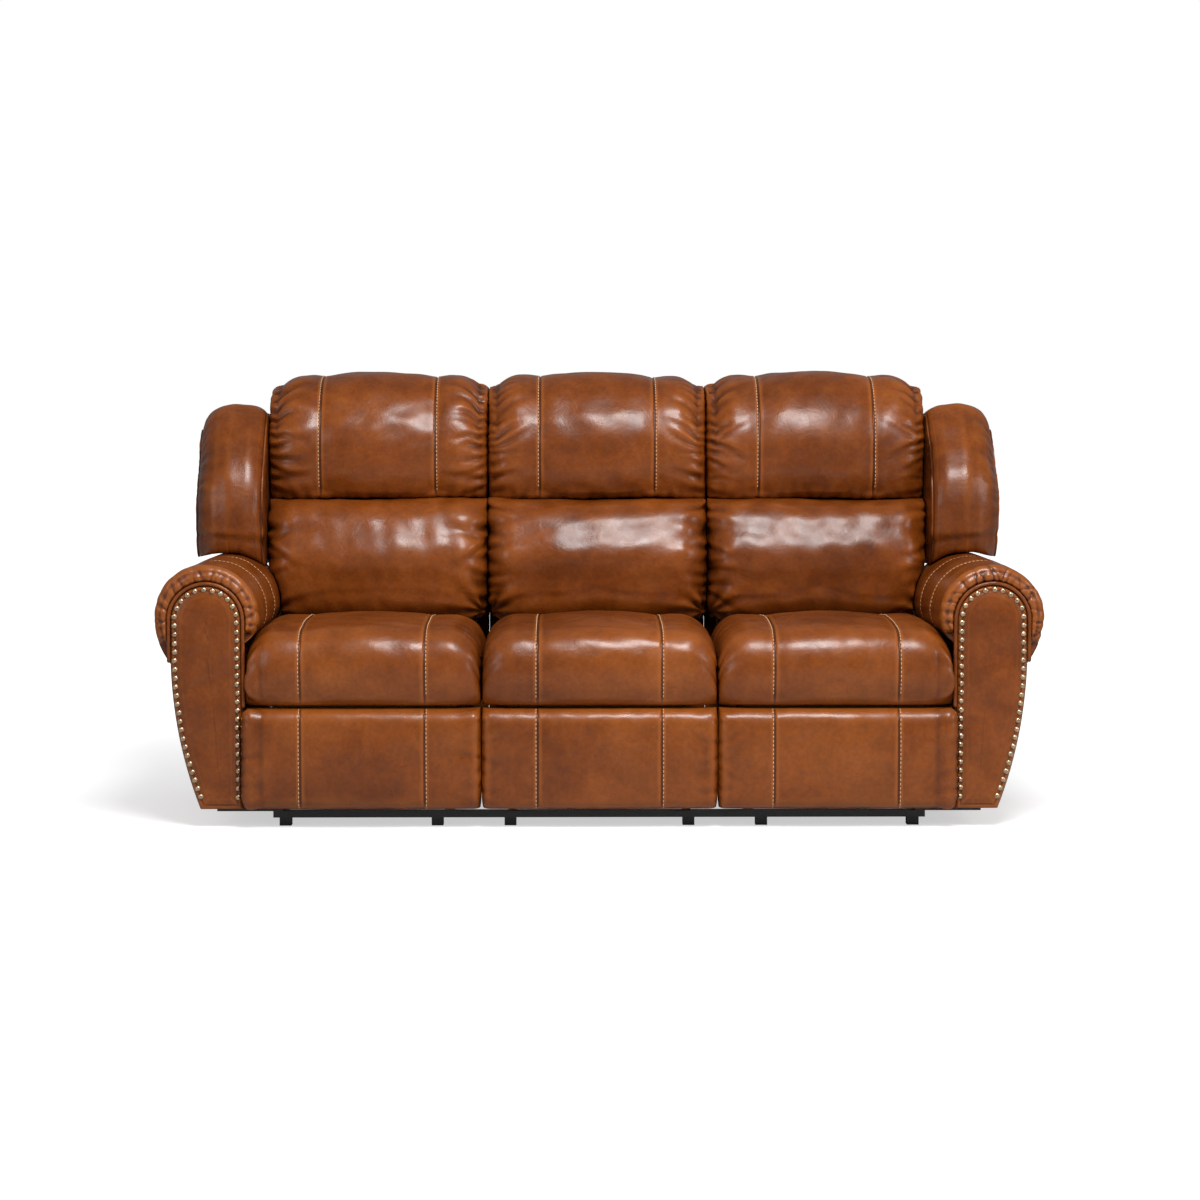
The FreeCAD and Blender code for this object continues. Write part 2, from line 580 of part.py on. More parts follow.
def lumbar_cushion(name):
    low, top, front = val("lumbar_low"), val("lumbar_top"), val("lumbar_front")
    deep = val("back_frame_thick") + val("soft_gap")

    def outline(inset):
        return [(front + 58 + inset, low + 0.2 * inset, 0), (back_y(low, deep), low + 0.2 * inset, 0),
                (back_y(top, deep), top, 0), (front + 96 + 0.5 * inset, top, 12),
                (front + 20 + inset, top - 70, 12), (front + 6 + inset, low + 96, 8)]
    return cushion(name, val("cushion_half"), 46, 0, val("lumbar_crown"), outline)


def head_pillow(name):
    low, top, front = val("lumbar_top") + 0.6, val("pillow_top"), val("pillow_front")
    deep, cover = val("back_frame_thick") + val("soft_gap"), val("back_cover_thick") + val("soft_gap")
    over = val("recline_z") + val("post_top") * math.cos(math.radians(val("rake"))) + 19.5

    def outline(inset):
        drop = top - inset
        return [(front + 34 + 0.6 * inset, low, 0), (back_y(low, deep), low, 0), (back_y(over, deep), over, 0),
                (back_y(over, cover), over, 0), (back_y(over + 12, cover), over + 12, 0),
                (back_y(over + 12, cover) - 28, max(drop, over + 16), 8), (front + 130, drop + 4, 12),
                (front + 30 + 0.6 * inset, drop - 74, 10), (front + 0.6 * inset, low + 110, 8)]
    return cushion(name, val("cushion_half"), 60, val("seam_out"), val("pillow_crown") - 8, outline)


def wing(name):
    """The padded side of an outer back, thick and rounded outwards."""
    low, top, front = val("wing_low"), val("wing_top"), val("wing_front")
    deep = val("back_cover_thick") + val("soft_gap")
    inner, outer = val("wing_inner") - val("seat_pitch"), val("wing_outer") - val("seat_pitch")
    wide = outer - inner

    def outline(inset):
        foot = low + 0.3 * inset
        return [(front + 22 + inset, foot, 0), (back_y(foot, deep), foot, 0),
                (back_y(top - 30 - inset, deep), top - 30 - inset, 0), (front + 190, top - inset, 10),
                (front + 62 + inset, top - 110 - inset, 14), (front + inset, low + 120, 10)]
    rows = [(0, 30), (0.06, 12), (0.2, 0), (0.5, -4), (0.72, 4), (0.88, 22), (0.97, 44), (1, 62)]
    wires = [section(inner + share * wide, outline(inset)) for share, inset in rows]
    return shaped(name, Part.makeLoft(wires, True, True))


# Arms: a wooden frame, a padded roll on top, a padded front panel with a welt and nailheads.


def roll_wire(y, middle_z, radius, shrink=0.0):
    """The roll's outline at one Y, round above and tucked in to the arm's faces below."""
    out, seat = val("roll_out"), val("roll_seat_z")
    inner, outer = val("arm_inner") + shrink, val("arm_outer") - shrink
    radius = radius - shrink
    part = radius / val("roll_r")
    neck = middle_z - 67 * part
    left, right = Vector(out - radius, y, middle_z), Vector(out + radius, y, middle_z)
    top, foot_in, foot_out = Vector(out, y, middle_z + radius), Vector(inner, y, seat), Vector(outer, y, seat)
    slant = radius * math.sqrt(0.5)
    chord = (right + foot_out) / 2
    side = Vector(right.z - foot_out.z, 0, foot_out.x - right.x)
    edges = [Part.LineSegment(foot_in, Vector(inner, y, neck)),
             Part.Arc(Vector(inner, y, neck), Vector(out - 118.8 * part, y, middle_z - 39.4 * part), left),
             Part.Arc(left, Vector(out - slant, y, middle_z + slant), top),
             Part.Arc(top, Vector(out + slant, y, middle_z + slant), right),
             Part.Arc(right, chord + side.normalize() * 10 * part, foot_out),
             Part.LineSegment(foot_out, foot_in)]
    return Part.Wire([edge.toShape() for edge in edges])


def arm_outline(shrink, low, top):
    """The arm below its roll: upright inside, tapered outside, as a list of edges at Y = 0."""
    inner = val("arm_inner") + shrink
    a, b = Vector(inner, 0, low), Vector(inner, 0, top)
    c, d = Vector(val("arm_outer") - shrink, 0, top), Vector(val("arm_foot_outer") - shrink, 0, low)
    mid = Vector(val("arm_taper_mid_out") - shrink, 0, val("arm_taper_mid_z"))
    return a, b, c, d, mid


def slab(edges, front, rear):
    """Pushes a closed outline at Y = 0 from one Y to another."""
    face = Part.Face(Part.Wire([edge.toShape() for edge in edges]))
    face.translate(Vector(0, front, 0))
    return face.extrude(Vector(0, rear - front, 0))


def make_arm_roll():
    front, tail, rear = val("arm_front"), val("roll_tail_y"), val("roll_rear_y")
    rows = [(front, 16), (front + 3, 8), (front + 9, 2.5), (front + 18, 0), (tail, 0)]
    wires = [roll_wire(y, val("roll_z"), val("roll_r"), shrink) for y, shrink in rows]
    wires.append(roll_wire(rear, val("roll_tail_z"), val("roll_tail_r")))
    body = Part.makeLoft(wires, True, True)
    clear = val("arch_r") + 2 * val("welt_r") + 1.5
    deep = val("panel_thick") + val("soft_gap")
    arch = Part.makeCylinder(clear, deep + 10, Vector(val("roll_out"), front - 10, val("arch_z")), Vector(0, 1, 0))
    low = val("roll_seat_z") - 10
    leg = Part.makeBox(2 * clear, deep + 10, val("arch_z") - low, Vector(val("roll_out") - clear, front - 10, low))
    add_arm("arm_roll", shaped("arm_roll_shape", body.cut(arch.fuse(leg))))


def make_arm_panel():
    """The front panel: straight inside, arched on top, tapered outside."""
    a, _, _, d, mid = arm_outline(2, val("arm_low"), val("roll_seat_z"))
    out, radius, z = val("roll_out"), val("arch_r"), val("arch_z")
    left, right = Vector(out - radius, 0, z), Vector(out + radius, 0, z)
    knee = Vector(out + radius, 0, val("roll_seat_z"))
    edges = [Part.LineSegment(a, left), Part.Arc(left, Vector(out, 0, z + radius), right),
             Part.LineSegment(right, knee), Part.Arc(knee, mid, d), Part.LineSegment(d, a)]
    body = slab(edges, val("arm_front"), val("front_panel_rear") - val("soft_gap"))
    add_arm("arm_front_panel", shaped("arm_front_panel_shape", body))


def make_arm_sides():
    skin, low, top = val("skin"), val("arm_low"), val("roll_seat_z") - val("soft_gap")
    front, rear = val("front_panel_rear"), val("arm_rear")
    a, b, c, d, mid = arm_outline(0, low, top)
    _, _, c2, d2, mid2 = arm_outline(skin, low, top)
    outer = slab([Part.Arc(c, mid, d), Part.LineSegment(d, d2), Part.Arc(d2, mid2, c2), Part.LineSegment(c2, c)],
                 front, rear - skin)
    cup = (val("cup_long") + 1, val("cup_high") + 1)
    hole = Part.makeBox(60, *cup, Vector(val("arm_outer") - 50, val("cup_y") - cup[0] / 2, val("cup_z") - cup[1] / 2))
    inner = Part.makeBox(skin, rear - skin - front, top - low, Vector(a.x, front, low))
    back = slab([Part.LineSegment(a, b), Part.LineSegment(b, c), Part.Arc(c, mid, d), Part.LineSegment(d, a)],
                rear - skin, rear)
    add_arm("arm_side_panels", shaped("arm_side_panels_shape", Part.makeCompound([outer.cut(hole), inner, back])))


def make_arm_frame():
    x = ("arm_inner + skin", "arm_foot_outer - 2 * skin")
    front, rear = "front_panel_rear", "arm_rear - skin"
    top = "roll_seat_z - soft_gap"
    things = [block("arm_front_board", x, (front, f"{front} + frame_thick"), ("arm_low", top)),
              block("arm_rear_board", x, (f"{rear} - frame_thick", rear), ("arm_low", top)),
              block("arm_foot_rail", x, (front, rear), ("arm_low", "arm_low + frame_thick")),
              block("arm_top_rail", (x[0], "arm_outer - 2 * skin"), (front, rear), (f"{top} - frame_thick", top))]
    add_arm("arm_frame", joined("arm_frame_shape", things))


def make_release():
    """A recessed cup in the arm's outer side, with a pull lever on a pin."""
    y = ("cup_y - cup_long / 2", "cup_y + cup_long / 2")
    z = ("cup_z - cup_high / 2", "cup_z + cup_high / 2")
    shell = block("cup_block", ("arm_outer - cup_deep", "arm_outer + 0.3"), y, z)
    rim = block("cup_rim", ("arm_outer + 0.3", "arm_outer + 3"), (f"{y[0]} - 6", f"{y[1]} + 6"), (f"{z[0]} - 6", f"{z[1]} + 6"))
    hollow = block("cup_hollow", ("arm_outer - cup_deep + cup_wall", "arm_outer + 10"),
                   (f"{y[0]} + cup_wall", f"{y[1]} - cup_wall"), (f"{z[0]} + cup_wall", f"{z[1]} - cup_wall"))
    pin_x, pin_z = "arm_outer - cup_deep / 2", f"{z[0]} + cup_wall + 5"
    holes = rod_y("cup_pin_hole", pin_x, (f"{y[0]} - 1", f"{y[1]} + 1"), pin_z, "cable_r + pin_fit")
    add_arm("release_cup", cut("cup", cut("cup_open", joined("cup_body", [shell, rim]), hollow), holes))
    flap = block("lever_flap", (f"{pin_x} - lever_thick / 2", f"{pin_x} + lever_thick / 2"),
                 (f"{y[0]} + cup_wall + 2", f"{y[1]} - cup_wall - 2"), (pin_z, f"{z[1]} - cup_wall - 8"))
    pin = rod_y("lever_pin", pin_x, (f"{y[0]} + 0.5", f"{y[1]} - 0.5"), pin_z, "cable_r")
    add_arm("release_lever", joined("lever", [flap, pin]))


def rod_y(name, x, y, z, radius):
    """A round bar along Y between two places."""
    thing = doc.addObject("Part::Cylinder", name)
    thing.Placement = FreeCAD.Placement(Vector(), FreeCAD.Rotation(Vector(-1, 0, 0), 90))
    return link_props(thing, Radius=radius, Height=f"({y[1]}) - ({y[0]})",
                      Placement__Base__x=x, Placement__Base__y=y[0], Placement__Base__z=z)


def make_welts():
    """A corded welt round each front panel, from behind the seat, over the arch, to the taper."""
    out, z = val("roll_out"), val("arch_z")
    ring_r = val("arch_r") + val("welt_r") + 0.5
    y = val("arm_front") + val("welt_r")
    low, crease = Vector(out - ring_r, y, val("welt_low")), Vector(out + ring_r, y, val("roll_seat_z") + 2)
    left, right = Vector(out - ring_r, y, z), Vector(out + ring_r, y, z)
    path = Part.Wire([Part.LineSegment(low, left).toShape(), Part.Arc(left, Vector(out, y, z + ring_r), right).toShape(),
                      Part.LineSegment(right, crease).toShape()])
    ring = Part.Wire(Part.makeCircle(val("welt_r"), low, Vector(0, 0, 1)))
    welt = shaped("one_welt", path.makePipeShell([ring], True, False))
    add_node("arm_welts", group("both_welts", [welt, mirrored("left_welt", welt)]))


def make_nailheads():
    """Domed nailheads along the panel's edge, evenly spaced on an inset line."""
    inset = val("nail_inset")
    a, _, _, d, mid = arm_outline(2 + inset, val("arm_low"), val("roll_seat_z"))
    out, radius, z = val("roll_out"), val("arch_r") - inset, val("arch_z")
    left, right = Vector(out - radius, 0, z), Vector(out + radius, 0, z)
    knee = Vector(out + radius, 0, val("roll_seat_z"))
    rows = [Part.LineSegment(a, left), Part.Arc(left, Vector(out, 0, z + radius), right),
            Part.LineSegment(right, knee), Part.Arc(knee, mid, d)]
    path = Part.Wire([row.toShape() for row in rows])
    count = int(path.Length / val("nail_pitch"))
    high, rim = val("nail_high"), val("nail_r")
    ball = (rim ** 2 + high ** 2) / (2 * high)
    tilt = math.degrees(math.asin((ball - high) / ball))
    domes = []
    for i, spot in enumerate(path.discretize(count + 1)):
        if 0 < i < count:
            middle = Vector(spot.x, val("arm_front") + ball - high, spot.z)
            domes.append(Part.makeSphere(ball, middle, Vector(0, -1, 0), tilt, 90))
    nails = shaped("one_row", Part.makeCompound(domes))
    add_node("arm_nailheads", group("both_rows", [nails, mirrored("left_row", nails)]))


def make_seats_and_backs():
    add_outer("seat_frame", seat_box("seat_box", "seat_board_low", "seat_box_rear"))
    add_outer("seat_springs", seat_springs("springs"))
    add_outer("seat_cushion", seat_cushion("seat_pad"))
    add_outer("footrest_pad", foot_pad("leg_pad", val("board_front") - val("soft_gap"), val("foot_pad_low")))
    add_outer("back_frame", back_frame("back", True))
    beside_roll = block("beside_roll", ("roll_out - roll_r - seat_pitch - side_fit", "cushion_half + 5"),
                        ("-cushion_half", "arm_rear"), ("lumbar_low - 5", "roll_z + roll_r + 2 * side_fit"))
    add_outer("back_cushion", cut("lumbar_whole", lumbar_cushion("lumbar"), beside_roll))
    add_outer("head_pillow", head_pillow("pillow"))
    add_outer("wing", wing("wing_pad"))
    add_outer("back_cover", back_cover("rear", True))
    board = block("centre_board", ("-board_half", "board_half"), ("board_front", "board_rear"), ("board_low", "board_top"))
    spacer = block("centre_spacer", ("seat_box_inner - 60", "seat_box_inner"), ("board_rear", "front_board_front"),
                   ("seat_board_low", "board_top"))
    beam = block("centre_beam", ("seat_box_inner", "seat_box_half"), ("back_seat_y", "rear_rail_rear"), ("rail_top", "seat_board_low - 65"))
    shoe = block("centre_shoe", ("seat_box_half", "post_in"), ("back_seat_y - 45", "back_seat_y"), ("recline_z - 50", "seat_board_top"))
    whole = [seat_box("centre_box", "rail_top", "back_seat_y"), board]
    for thing in (spacer, beam, shoe):
        whole += [thing, mirrored(thing.Name + "_left", thing)]
    add_node("centre_seat_frame", joined("centre_frame", whole))
    add_node("centre_seat_springs", seat_springs("centre_springs"))
    add_node("centre_seat_cushion", seat_cushion("centre_pad"))
    add_node("centre_front_pad", foot_pad("centre_leg_pad", val("board_front") - val("soft_gap"), val("foot_pad_low")))
    add_node("centre_back_frame", back_frame("centre_back", False))
    add_node("centre_back_cushion", lumbar_cushion("centre_lumbar"))
    add_node("centre_head_pillow", head_pillow("centre_pillow"))
    add_node("centre_back_cover", back_cover("centre_rear", False))


def check_and_write():
    """Stops on a failed object or a bad shape, then writes one STEP file for each node."""
    doc.recompute()
    for thing in doc.Objects:
        if any(word in ("Invalid", "Error") for word in thing.State):
            raise RuntimeError(f"{thing.Name} failed: {thing.State}")
    for name, whole in nodes.items():
        if whole.Shape.isNull() or not whole.Shape.isValid() or not whole.Shape.Solids:
            raise RuntimeError(f"{name} has no valid shape")
    os.makedirs("parts", exist_ok=True)
    for name, whole in nodes.items():
        whole.Shape.exportStep(f"parts/{name}.step")
        print(name, len(whole.Shape.Solids), round(whole.Shape.Volume))
    box = Part.makeCompound([whole.Shape for whole in nodes.values()]).BoundBox
    print("box", box)


make_base()
make_links()
make_footrest()
make_plates()
make_seats_and_backs()
make_arm_roll()
make_arm_panel()
make_arm_sides()
make_arm_frame()
make_release()
make_welts()
make_nailheads()
check_and_write()
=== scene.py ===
# %% [markdown]
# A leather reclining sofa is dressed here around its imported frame. The frame holds every hard piece at its
# real size, and the soft pieces are worked out as surfaces on a grid, because leather over foam is one
# smooth skin with a few folds whose place can be chosen.
# %% Load the frame and keep its size
import math

import bpy
import numpy as np
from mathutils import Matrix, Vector


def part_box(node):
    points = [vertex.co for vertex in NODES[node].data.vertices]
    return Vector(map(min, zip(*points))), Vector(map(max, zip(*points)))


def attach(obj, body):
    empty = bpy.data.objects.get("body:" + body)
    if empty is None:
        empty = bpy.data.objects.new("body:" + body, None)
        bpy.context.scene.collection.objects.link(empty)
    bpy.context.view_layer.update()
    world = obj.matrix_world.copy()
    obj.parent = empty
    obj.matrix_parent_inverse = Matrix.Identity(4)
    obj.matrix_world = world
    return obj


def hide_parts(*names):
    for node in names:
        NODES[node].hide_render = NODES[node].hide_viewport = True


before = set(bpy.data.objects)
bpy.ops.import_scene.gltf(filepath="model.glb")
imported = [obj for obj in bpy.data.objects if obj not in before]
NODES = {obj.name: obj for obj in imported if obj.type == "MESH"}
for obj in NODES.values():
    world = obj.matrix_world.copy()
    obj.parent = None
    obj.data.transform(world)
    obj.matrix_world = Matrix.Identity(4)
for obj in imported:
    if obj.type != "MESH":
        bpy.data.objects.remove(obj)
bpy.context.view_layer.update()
SIDES = (("left", -1.0), ("right", 1.0))
print("nodes", len(NODES))

# %% [markdown]
# The sizes that several pieces share are written once: where a seam lies from the middle of a seat and how
# deep it is pulled into the foam, the length and spacing of a stitch, half the width of a seat, how many
# points a cushion has round it and along it, and the middle line and radius of the roll on each arm.
# %% Sizes of the upholstery, in metres
MM = 0.001
SEAM_OUT = 152 * MM
SEAM_DEEP = 2.6 * MM
SEAM_WIDE = 3.2 * MM
STITCH_LONG = 7.0 * MM
STITCH_PITCH = 10.5 * MM
STITCH_R = 1.1 * MM
SEAT_HALF = 290 * MM
TOUCH = 0.25 * MM
ROUND = 200
ROWS = 130
NEAR_SEAM = np.array([-9, -6, -4, -2.5, -1.2, 0, 1.2, 2.5, 4, 6, 9]) * MM
# Where the rolled front of a seat begins, and how far behind it a skin may reach towards the arm.
NOSE_Y = -467 * MM
BESIDE_ARM = 287.2 * MM
# The middle line of the right arm's roll, and its radius.
OUT_X, ROLL_Z, ROLL_R = 963 * MM, 518 * MM, 130 * MM


def corners_of(node):
    """Lowest and highest corner of a node as two arrays."""
    low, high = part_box(node)
    return np.array(low), np.array(high)


def rise(value, width):
    """How far a value has come over a width: 0 at nought and below, 1 at the width and above."""
    return np.clip(value / width, 0, 1)


def run_of(path):
    """The distance gone at each point of a path: the lengths of the steps before it, added up."""
    return np.concatenate([[0], np.cumsum(np.linalg.norm(np.diff(path, axis=0), axis=1))])


def points_at(at, gone, path):
    """The points of a path at some distances along it, in a straight line between its own points."""
    return np.stack([np.interp(at, gone, path[:, k]) for k in range(path.shape[1])], 1)


print("each seat is", 2 * SEAT_HALF, "metres wide")

# %% [markdown]
# Every skin below is a grid: rows that follow one another along the piece, and columns that go round it.
# The grid goes straight into a mesh, with a fan of triangles at each closed end.
# %% Turn a grid of points into a mesh
def grid_faces(rows, columns):
    """Quads between neighbouring rows and columns; the last column meets the first."""
    i, j = np.meshgrid(np.arange(rows - 1), np.arange(columns), indexing="ij")
    nxt = (j + 1) % columns
    here, below = i * columns, (i + 1) * columns
    return np.stack([here + j, here + nxt, below + nxt, below + j], -1).reshape(-1, 4)


def mesh_piece(name, points, faces, values=None):
    """A new object at the origin whose mesh holds these points, faces and named values for each point."""
    mesh = bpy.data.meshes.new(name)
    mesh.from_pydata(points.tolist(), [], faces)
    mesh.polygons.foreach_set("use_smooth", np.ones(len(mesh.polygons), dtype=bool))
    for label, numbers in (values or {}).items():
        layer = mesh.attributes.new(label, "FLOAT", "POINT")
        layer.data.foreach_set("value", np.asarray(numbers, dtype=np.float32).ravel())
    mesh.update()
    piece = bpy.data.objects.new(name, mesh)
    bpy.context.scene.collection.objects.link(piece)
    return piece


def closed_skin(name, grid, values=None):
    """A closed piece from a grid that loops round, with a pole at each end; values follow the grid."""
    rows, columns, _ = grid.shape
    points = np.vstack([grid.reshape(-1, 3), grid[0].mean(0), grid[-1].mean(0)])
    first, last, base = rows * columns, rows * columns + 1, (rows - 1) * columns
    j, one = np.arange(columns), np.ones(columns, dtype=int)
    k = (j + 1) % columns
    fans = np.stack([first * one, k, j, last * one, base + j, base + k], 1).reshape(-1, 3)
    faces = grid_faces(rows, columns).tolist() + fans.tolist()
    filled = {key: np.append(v.ravel(), [v[0].mean(), v[-1].mean()]) for key, v in (values or {}).items()}
    volume = signed_volume(points, grid_faces(rows, columns))
    if volume < 0:
        faces = [tuple(reversed(face)) for face in faces]
    return mesh_piece(name, points, faces, filled)


def signed_volume(points, quads):
    """Six times the volume inside the quads, positive where they face outwards."""
    a, b, c, d = (points[quads[:, k]] for k in range(4))
    return float((np.einsum("ij,ij->i", a, np.cross(b, c)) + np.einsum("ij,ij->i", a, np.cross(c, d))).sum())


# %% [markdown]
# Leather is lighter on its worn crests, and its creases are painted darker as shade. The mesh knows where
# those are: how sharply the skin bends outwards or inwards at each point is measured on the grid and kept
# as a value for the material.
# %% Measure normals, and wear and painted crease shade, on a grid
def normals_of(grid):
    """Unit normals of a grid, from the cross product of its two directions."""
    along = np.gradient(grid, axis=0)
    round_ = (np.roll(grid, -1, 1) - np.roll(grid, 1, 1)) / 2
    normal = np.cross(round_, along)
    normal /= np.linalg.norm(normal, axis=2, keepdims=True) + 1e-12
    middle = grid.reshape(-1, 3).mean(0)
    if np.einsum("ijk,ijk->", normal, grid - middle) < 0:
        normal = -normal
    return normal


def blur(values, steps):
    """Evens values out over neighbouring points, several times."""
    for _ in range(steps):
        values = (values + np.roll(values, 1, 1) + np.roll(values, -1, 1)) / 3
        padded = np.concatenate([values[:1], values, values[-1:]])
        values = (padded[:-2] + padded[1:-1] + padded[2:]) / 3
    return values


def wear_and_shade_of(grid, normal, scale=55.0):
    """From 0 in a crease, painted as shade, to 1 on a worn crest: the skin's bend along its normal, squeezed
    into that range.
    """
    def bend(a, b):
        left, right = a - grid, b - grid
        step = (np.linalg.norm(left, axis=2) + np.linalg.norm(right, axis=2)) / 2 + 1e-6
        return -((left + right) * normal).sum(2) / step ** 2
    up = np.concatenate([grid[1:], grid[-1:]])
    down = np.concatenate([grid[:1], grid[:-1]])
    both = bend(np.roll(grid, 1, 1), np.roll(grid, -1, 1)) + bend(up, down)
    return 0.5 + 0.5 * np.tanh(blur(np.clip(both, -400, 400), 2) / scale)


# %% [markdown]
# A finish is a small network of shader nodes. These helpers add one node each and join it up, so that a
# material below reads like a recipe.
# %% Helpers for materials
def node_of(tree, kind, **inputs):
    """Adds a shader node and sets the named inputs that are given as plain values."""
    made = tree.nodes.new(kind)
    for key, value in inputs.items():
        made.inputs[key.replace("_", " ")].default_value = value
    return made


def ramp_of(tree, source, stops):
    """A colour ramp over a value; each stop is a place and a colour."""
    made = tree.nodes.new("ShaderNodeValToRGB")
    tree.links.new(source, made.inputs["Fac"])
    ramp = made.color_ramp
    while len(ramp.elements) < len(stops):
        ramp.elements.new(0.5)
    for element, (place, colour) in zip(ramp.elements, stops):
        element.position = place
        element.color = (*colour, 1.0)
    return made.outputs["Color"]


def range_of(tree, source, low, high, out_low, out_high):
    """Maps a value from one range to another."""
    made = tree.nodes.new("ShaderNodeMapRange")
    tree.links.new(source, made.inputs["Value"])
    for key, value in (("From Min", low), ("From Max", high), ("To Min", out_low), ("To Max", out_high)):
        made.inputs[key].default_value = value
    return made.outputs["Result"]


def mixed(tree, factor, one, two, mode="MIX"):
    """Mixes two colours; the factor and the colours are sockets or plain values."""
    made = tree.nodes.new("ShaderNodeMix")
    made.data_type = "RGBA"
    made.blend_type = mode
    for socket, value in ((made.inputs[0], factor), (made.inputs[6], one), (made.inputs[7], two)):
        if isinstance(value, bpy.types.NodeSocket):
            tree.links.new(value, socket)
        else:
            socket.default_value = value if socket.type == "VALUE" else (*value, 1.0)
    return made.outputs[2]


def bump_of(tree, height, strength, distance, under=None):
    """Bends the surface by a height, on top of another bump where one is given."""
    made = node_of(tree, "ShaderNodeBump", Strength=strength, Distance=distance)
    tree.links.new(height, made.inputs["Height"])
    if under:
        tree.links.new(under, made.inputs["Normal"])
    return made.outputs["Normal"]


def fresh(name):
    """A new material with its node tree and its main shader."""
    material = bpy.data.materials.new(name)
    material.use_nodes = True
    return material, material.node_tree, material.node_tree.nodes["Principled BSDF"]

# %% [markdown]
# The finish is a hand-rubbed brown: a dark dye wiped over a lighter hide. Two noises of different size make
# the cloudy patches, the bend value lightens crests as wear and darkens creases as painted shade, and a fine
# cell pattern makes the pebbled grain as bump only, because it is far too small to model.
# %% Leather
# The dark dye tone; scaled down, it is also the painted shade in creases.
DARK_DYE_AND_SHADE = (0.052, 0.0100, 0.0012)
BROWN = (0.190, 0.0430, 0.0040)
TAN = (0.350, 0.0980, 0.0140)


def leather(name, worn_and_shaded=True, gloss=0.31):
    """Rubbed brown leather; worn and shaded pieces carry the bend value, which lightens worn crests and
    paints shade into creases.
    """
    material, tree, shader = fresh(name)
    place = tree.nodes.new("ShaderNodeTexCoord").outputs["Object"]

    def noise(scale, detail, rough=0.55, twist=0.0):
        made = node_of(tree, "ShaderNodeTexNoise", Scale=scale, Detail=detail, Roughness=rough,
                       Distortion=twist)
        tree.links.new(place, made.inputs["Vector"])
        return made.outputs["Fac"]
    cloud = ramp_of(tree, noise(2.3, 4.0, 0.5, 0.5), ((0.34, DARK_DYE_AND_SHADE), (0.50, BROWN), (0.68, TAN)))
    patch = ramp_of(tree, noise(13.0, 6.0, 0.62, 0.4), ((0.36, DARK_DYE_AND_SHADE), (0.52, BROWN), (0.72, TAN)))
    colour = mixed(tree, 0.26, mixed(tree, 0.44, BROWN, cloud), patch)
    speckle = range_of(tree, noise(95.0, 4.0), 0.3, 0.7, 0.86, 1.10)
    colour = mixed(tree, 1.0, colour, speckle, "MULTIPLY")
    if worn_and_shaded:
        wear_and_shade = tree.nodes.new("ShaderNodeAttribute")
        wear_and_shade.attribute_name = "wear_and_shade"
        crest = range_of(tree, wear_and_shade.outputs["Fac"], 0.56, 0.92, 0.0, 0.55)
        # Creases are painted darker here, towards a dark deeper than the dye: this is painted shade.
        crease_shade = range_of(tree, wear_and_shade.outputs["Fac"], 0.47, 0.10, 0.0, 0.66)
        colour = mixed(tree, crest, colour, TAN)
        colour = mixed(tree, crease_shade, colour, (DARK_DYE_AND_SHADE[0] * 0.55, DARK_DYE_AND_SHADE[1] * 0.5, DARK_DYE_AND_SHADE[2] * 0.5))
    tree.links.new(colour, shader.inputs["Base Color"])
    rough = range_of(tree, noise(21.0, 4.0), 0.3, 0.7, gloss - 0.05, gloss + 0.12)
    tree.links.new(rough, shader.inputs["Roughness"])
    shader.inputs["Coat Weight"].default_value = 0.16
    shader.inputs["Coat Roughness"].default_value = 0.20
    shader.inputs["Specular IOR Level"].default_value = 0.30
    grain = tree.nodes.new("ShaderNodeTexVoronoi")
    grain.feature = "SMOOTH_F1"
    grain.inputs["Scale"].default_value = 520.0
    tree.links.new(place, grain.inputs["Vector"])
    fine = bump_of(tree, grain.outputs["Distance"], 0.30, 0.0006)
    soft = bump_of(tree, noise(26.0, 5.0, 0.55, 0.9), 0.34, 0.0035, fine)
    tree.links.new(soft, shader.inputs["Normal"])
    return material


HIDE = leather("saddle_leather")
HIDE_FLAT = leather("saddle_leather_panel", worn_and_shaded=False, gloss=0.35)
print("leathers", HIDE.name, HIDE_FLAT.name)

# %% [markdown]
# The hard materials are few. Each has a little variation in its gloss, so that a rail or a link doesn't
# look like one flat colour: powder coat is slightly orange-peeled, plated steel is streaked, boards have
# grain.
# %% Hard materials and thread
def plain(name, colour, rough, metal=0.0, scale=40.0, spread=0.18, bump=0.0004, stretch=(1, 1, 1)):
    """A material whose colour, gloss and surface vary with a stretched noise."""
    material, tree, shader = fresh(name)
    place = tree.nodes.new("ShaderNodeTexCoord").outputs["Object"]
    turn = tree.nodes.new("ShaderNodeMapping")
    turn.inputs["Scale"].default_value = stretch
    tree.links.new(place, turn.inputs["Vector"])
    made = node_of(tree, "ShaderNodeTexNoise", Scale=scale, Detail=5.0)
    tree.links.new(turn.outputs["Vector"], made.inputs["Vector"])
    dark = tuple(c * (1 - spread) for c in colour)
    light = tuple(min(1.0, c * (1 + spread)) for c in colour)
    shade = ramp_of(tree, made.outputs["Fac"], ((0.3, dark), (0.7, light)))
    tree.links.new(shade, shader.inputs["Base Color"])
    tree.links.new(range_of(tree, made.outputs["Fac"], 0.3, 0.7, rough * 0.85, min(1.0, rough * 1.2)),
                   shader.inputs["Roughness"])
    shader.inputs["Metallic"].default_value = metal
    tree.links.new(bump_of(tree, made.outputs["Fac"], 0.25, bump), shader.inputs["Normal"])
    return material


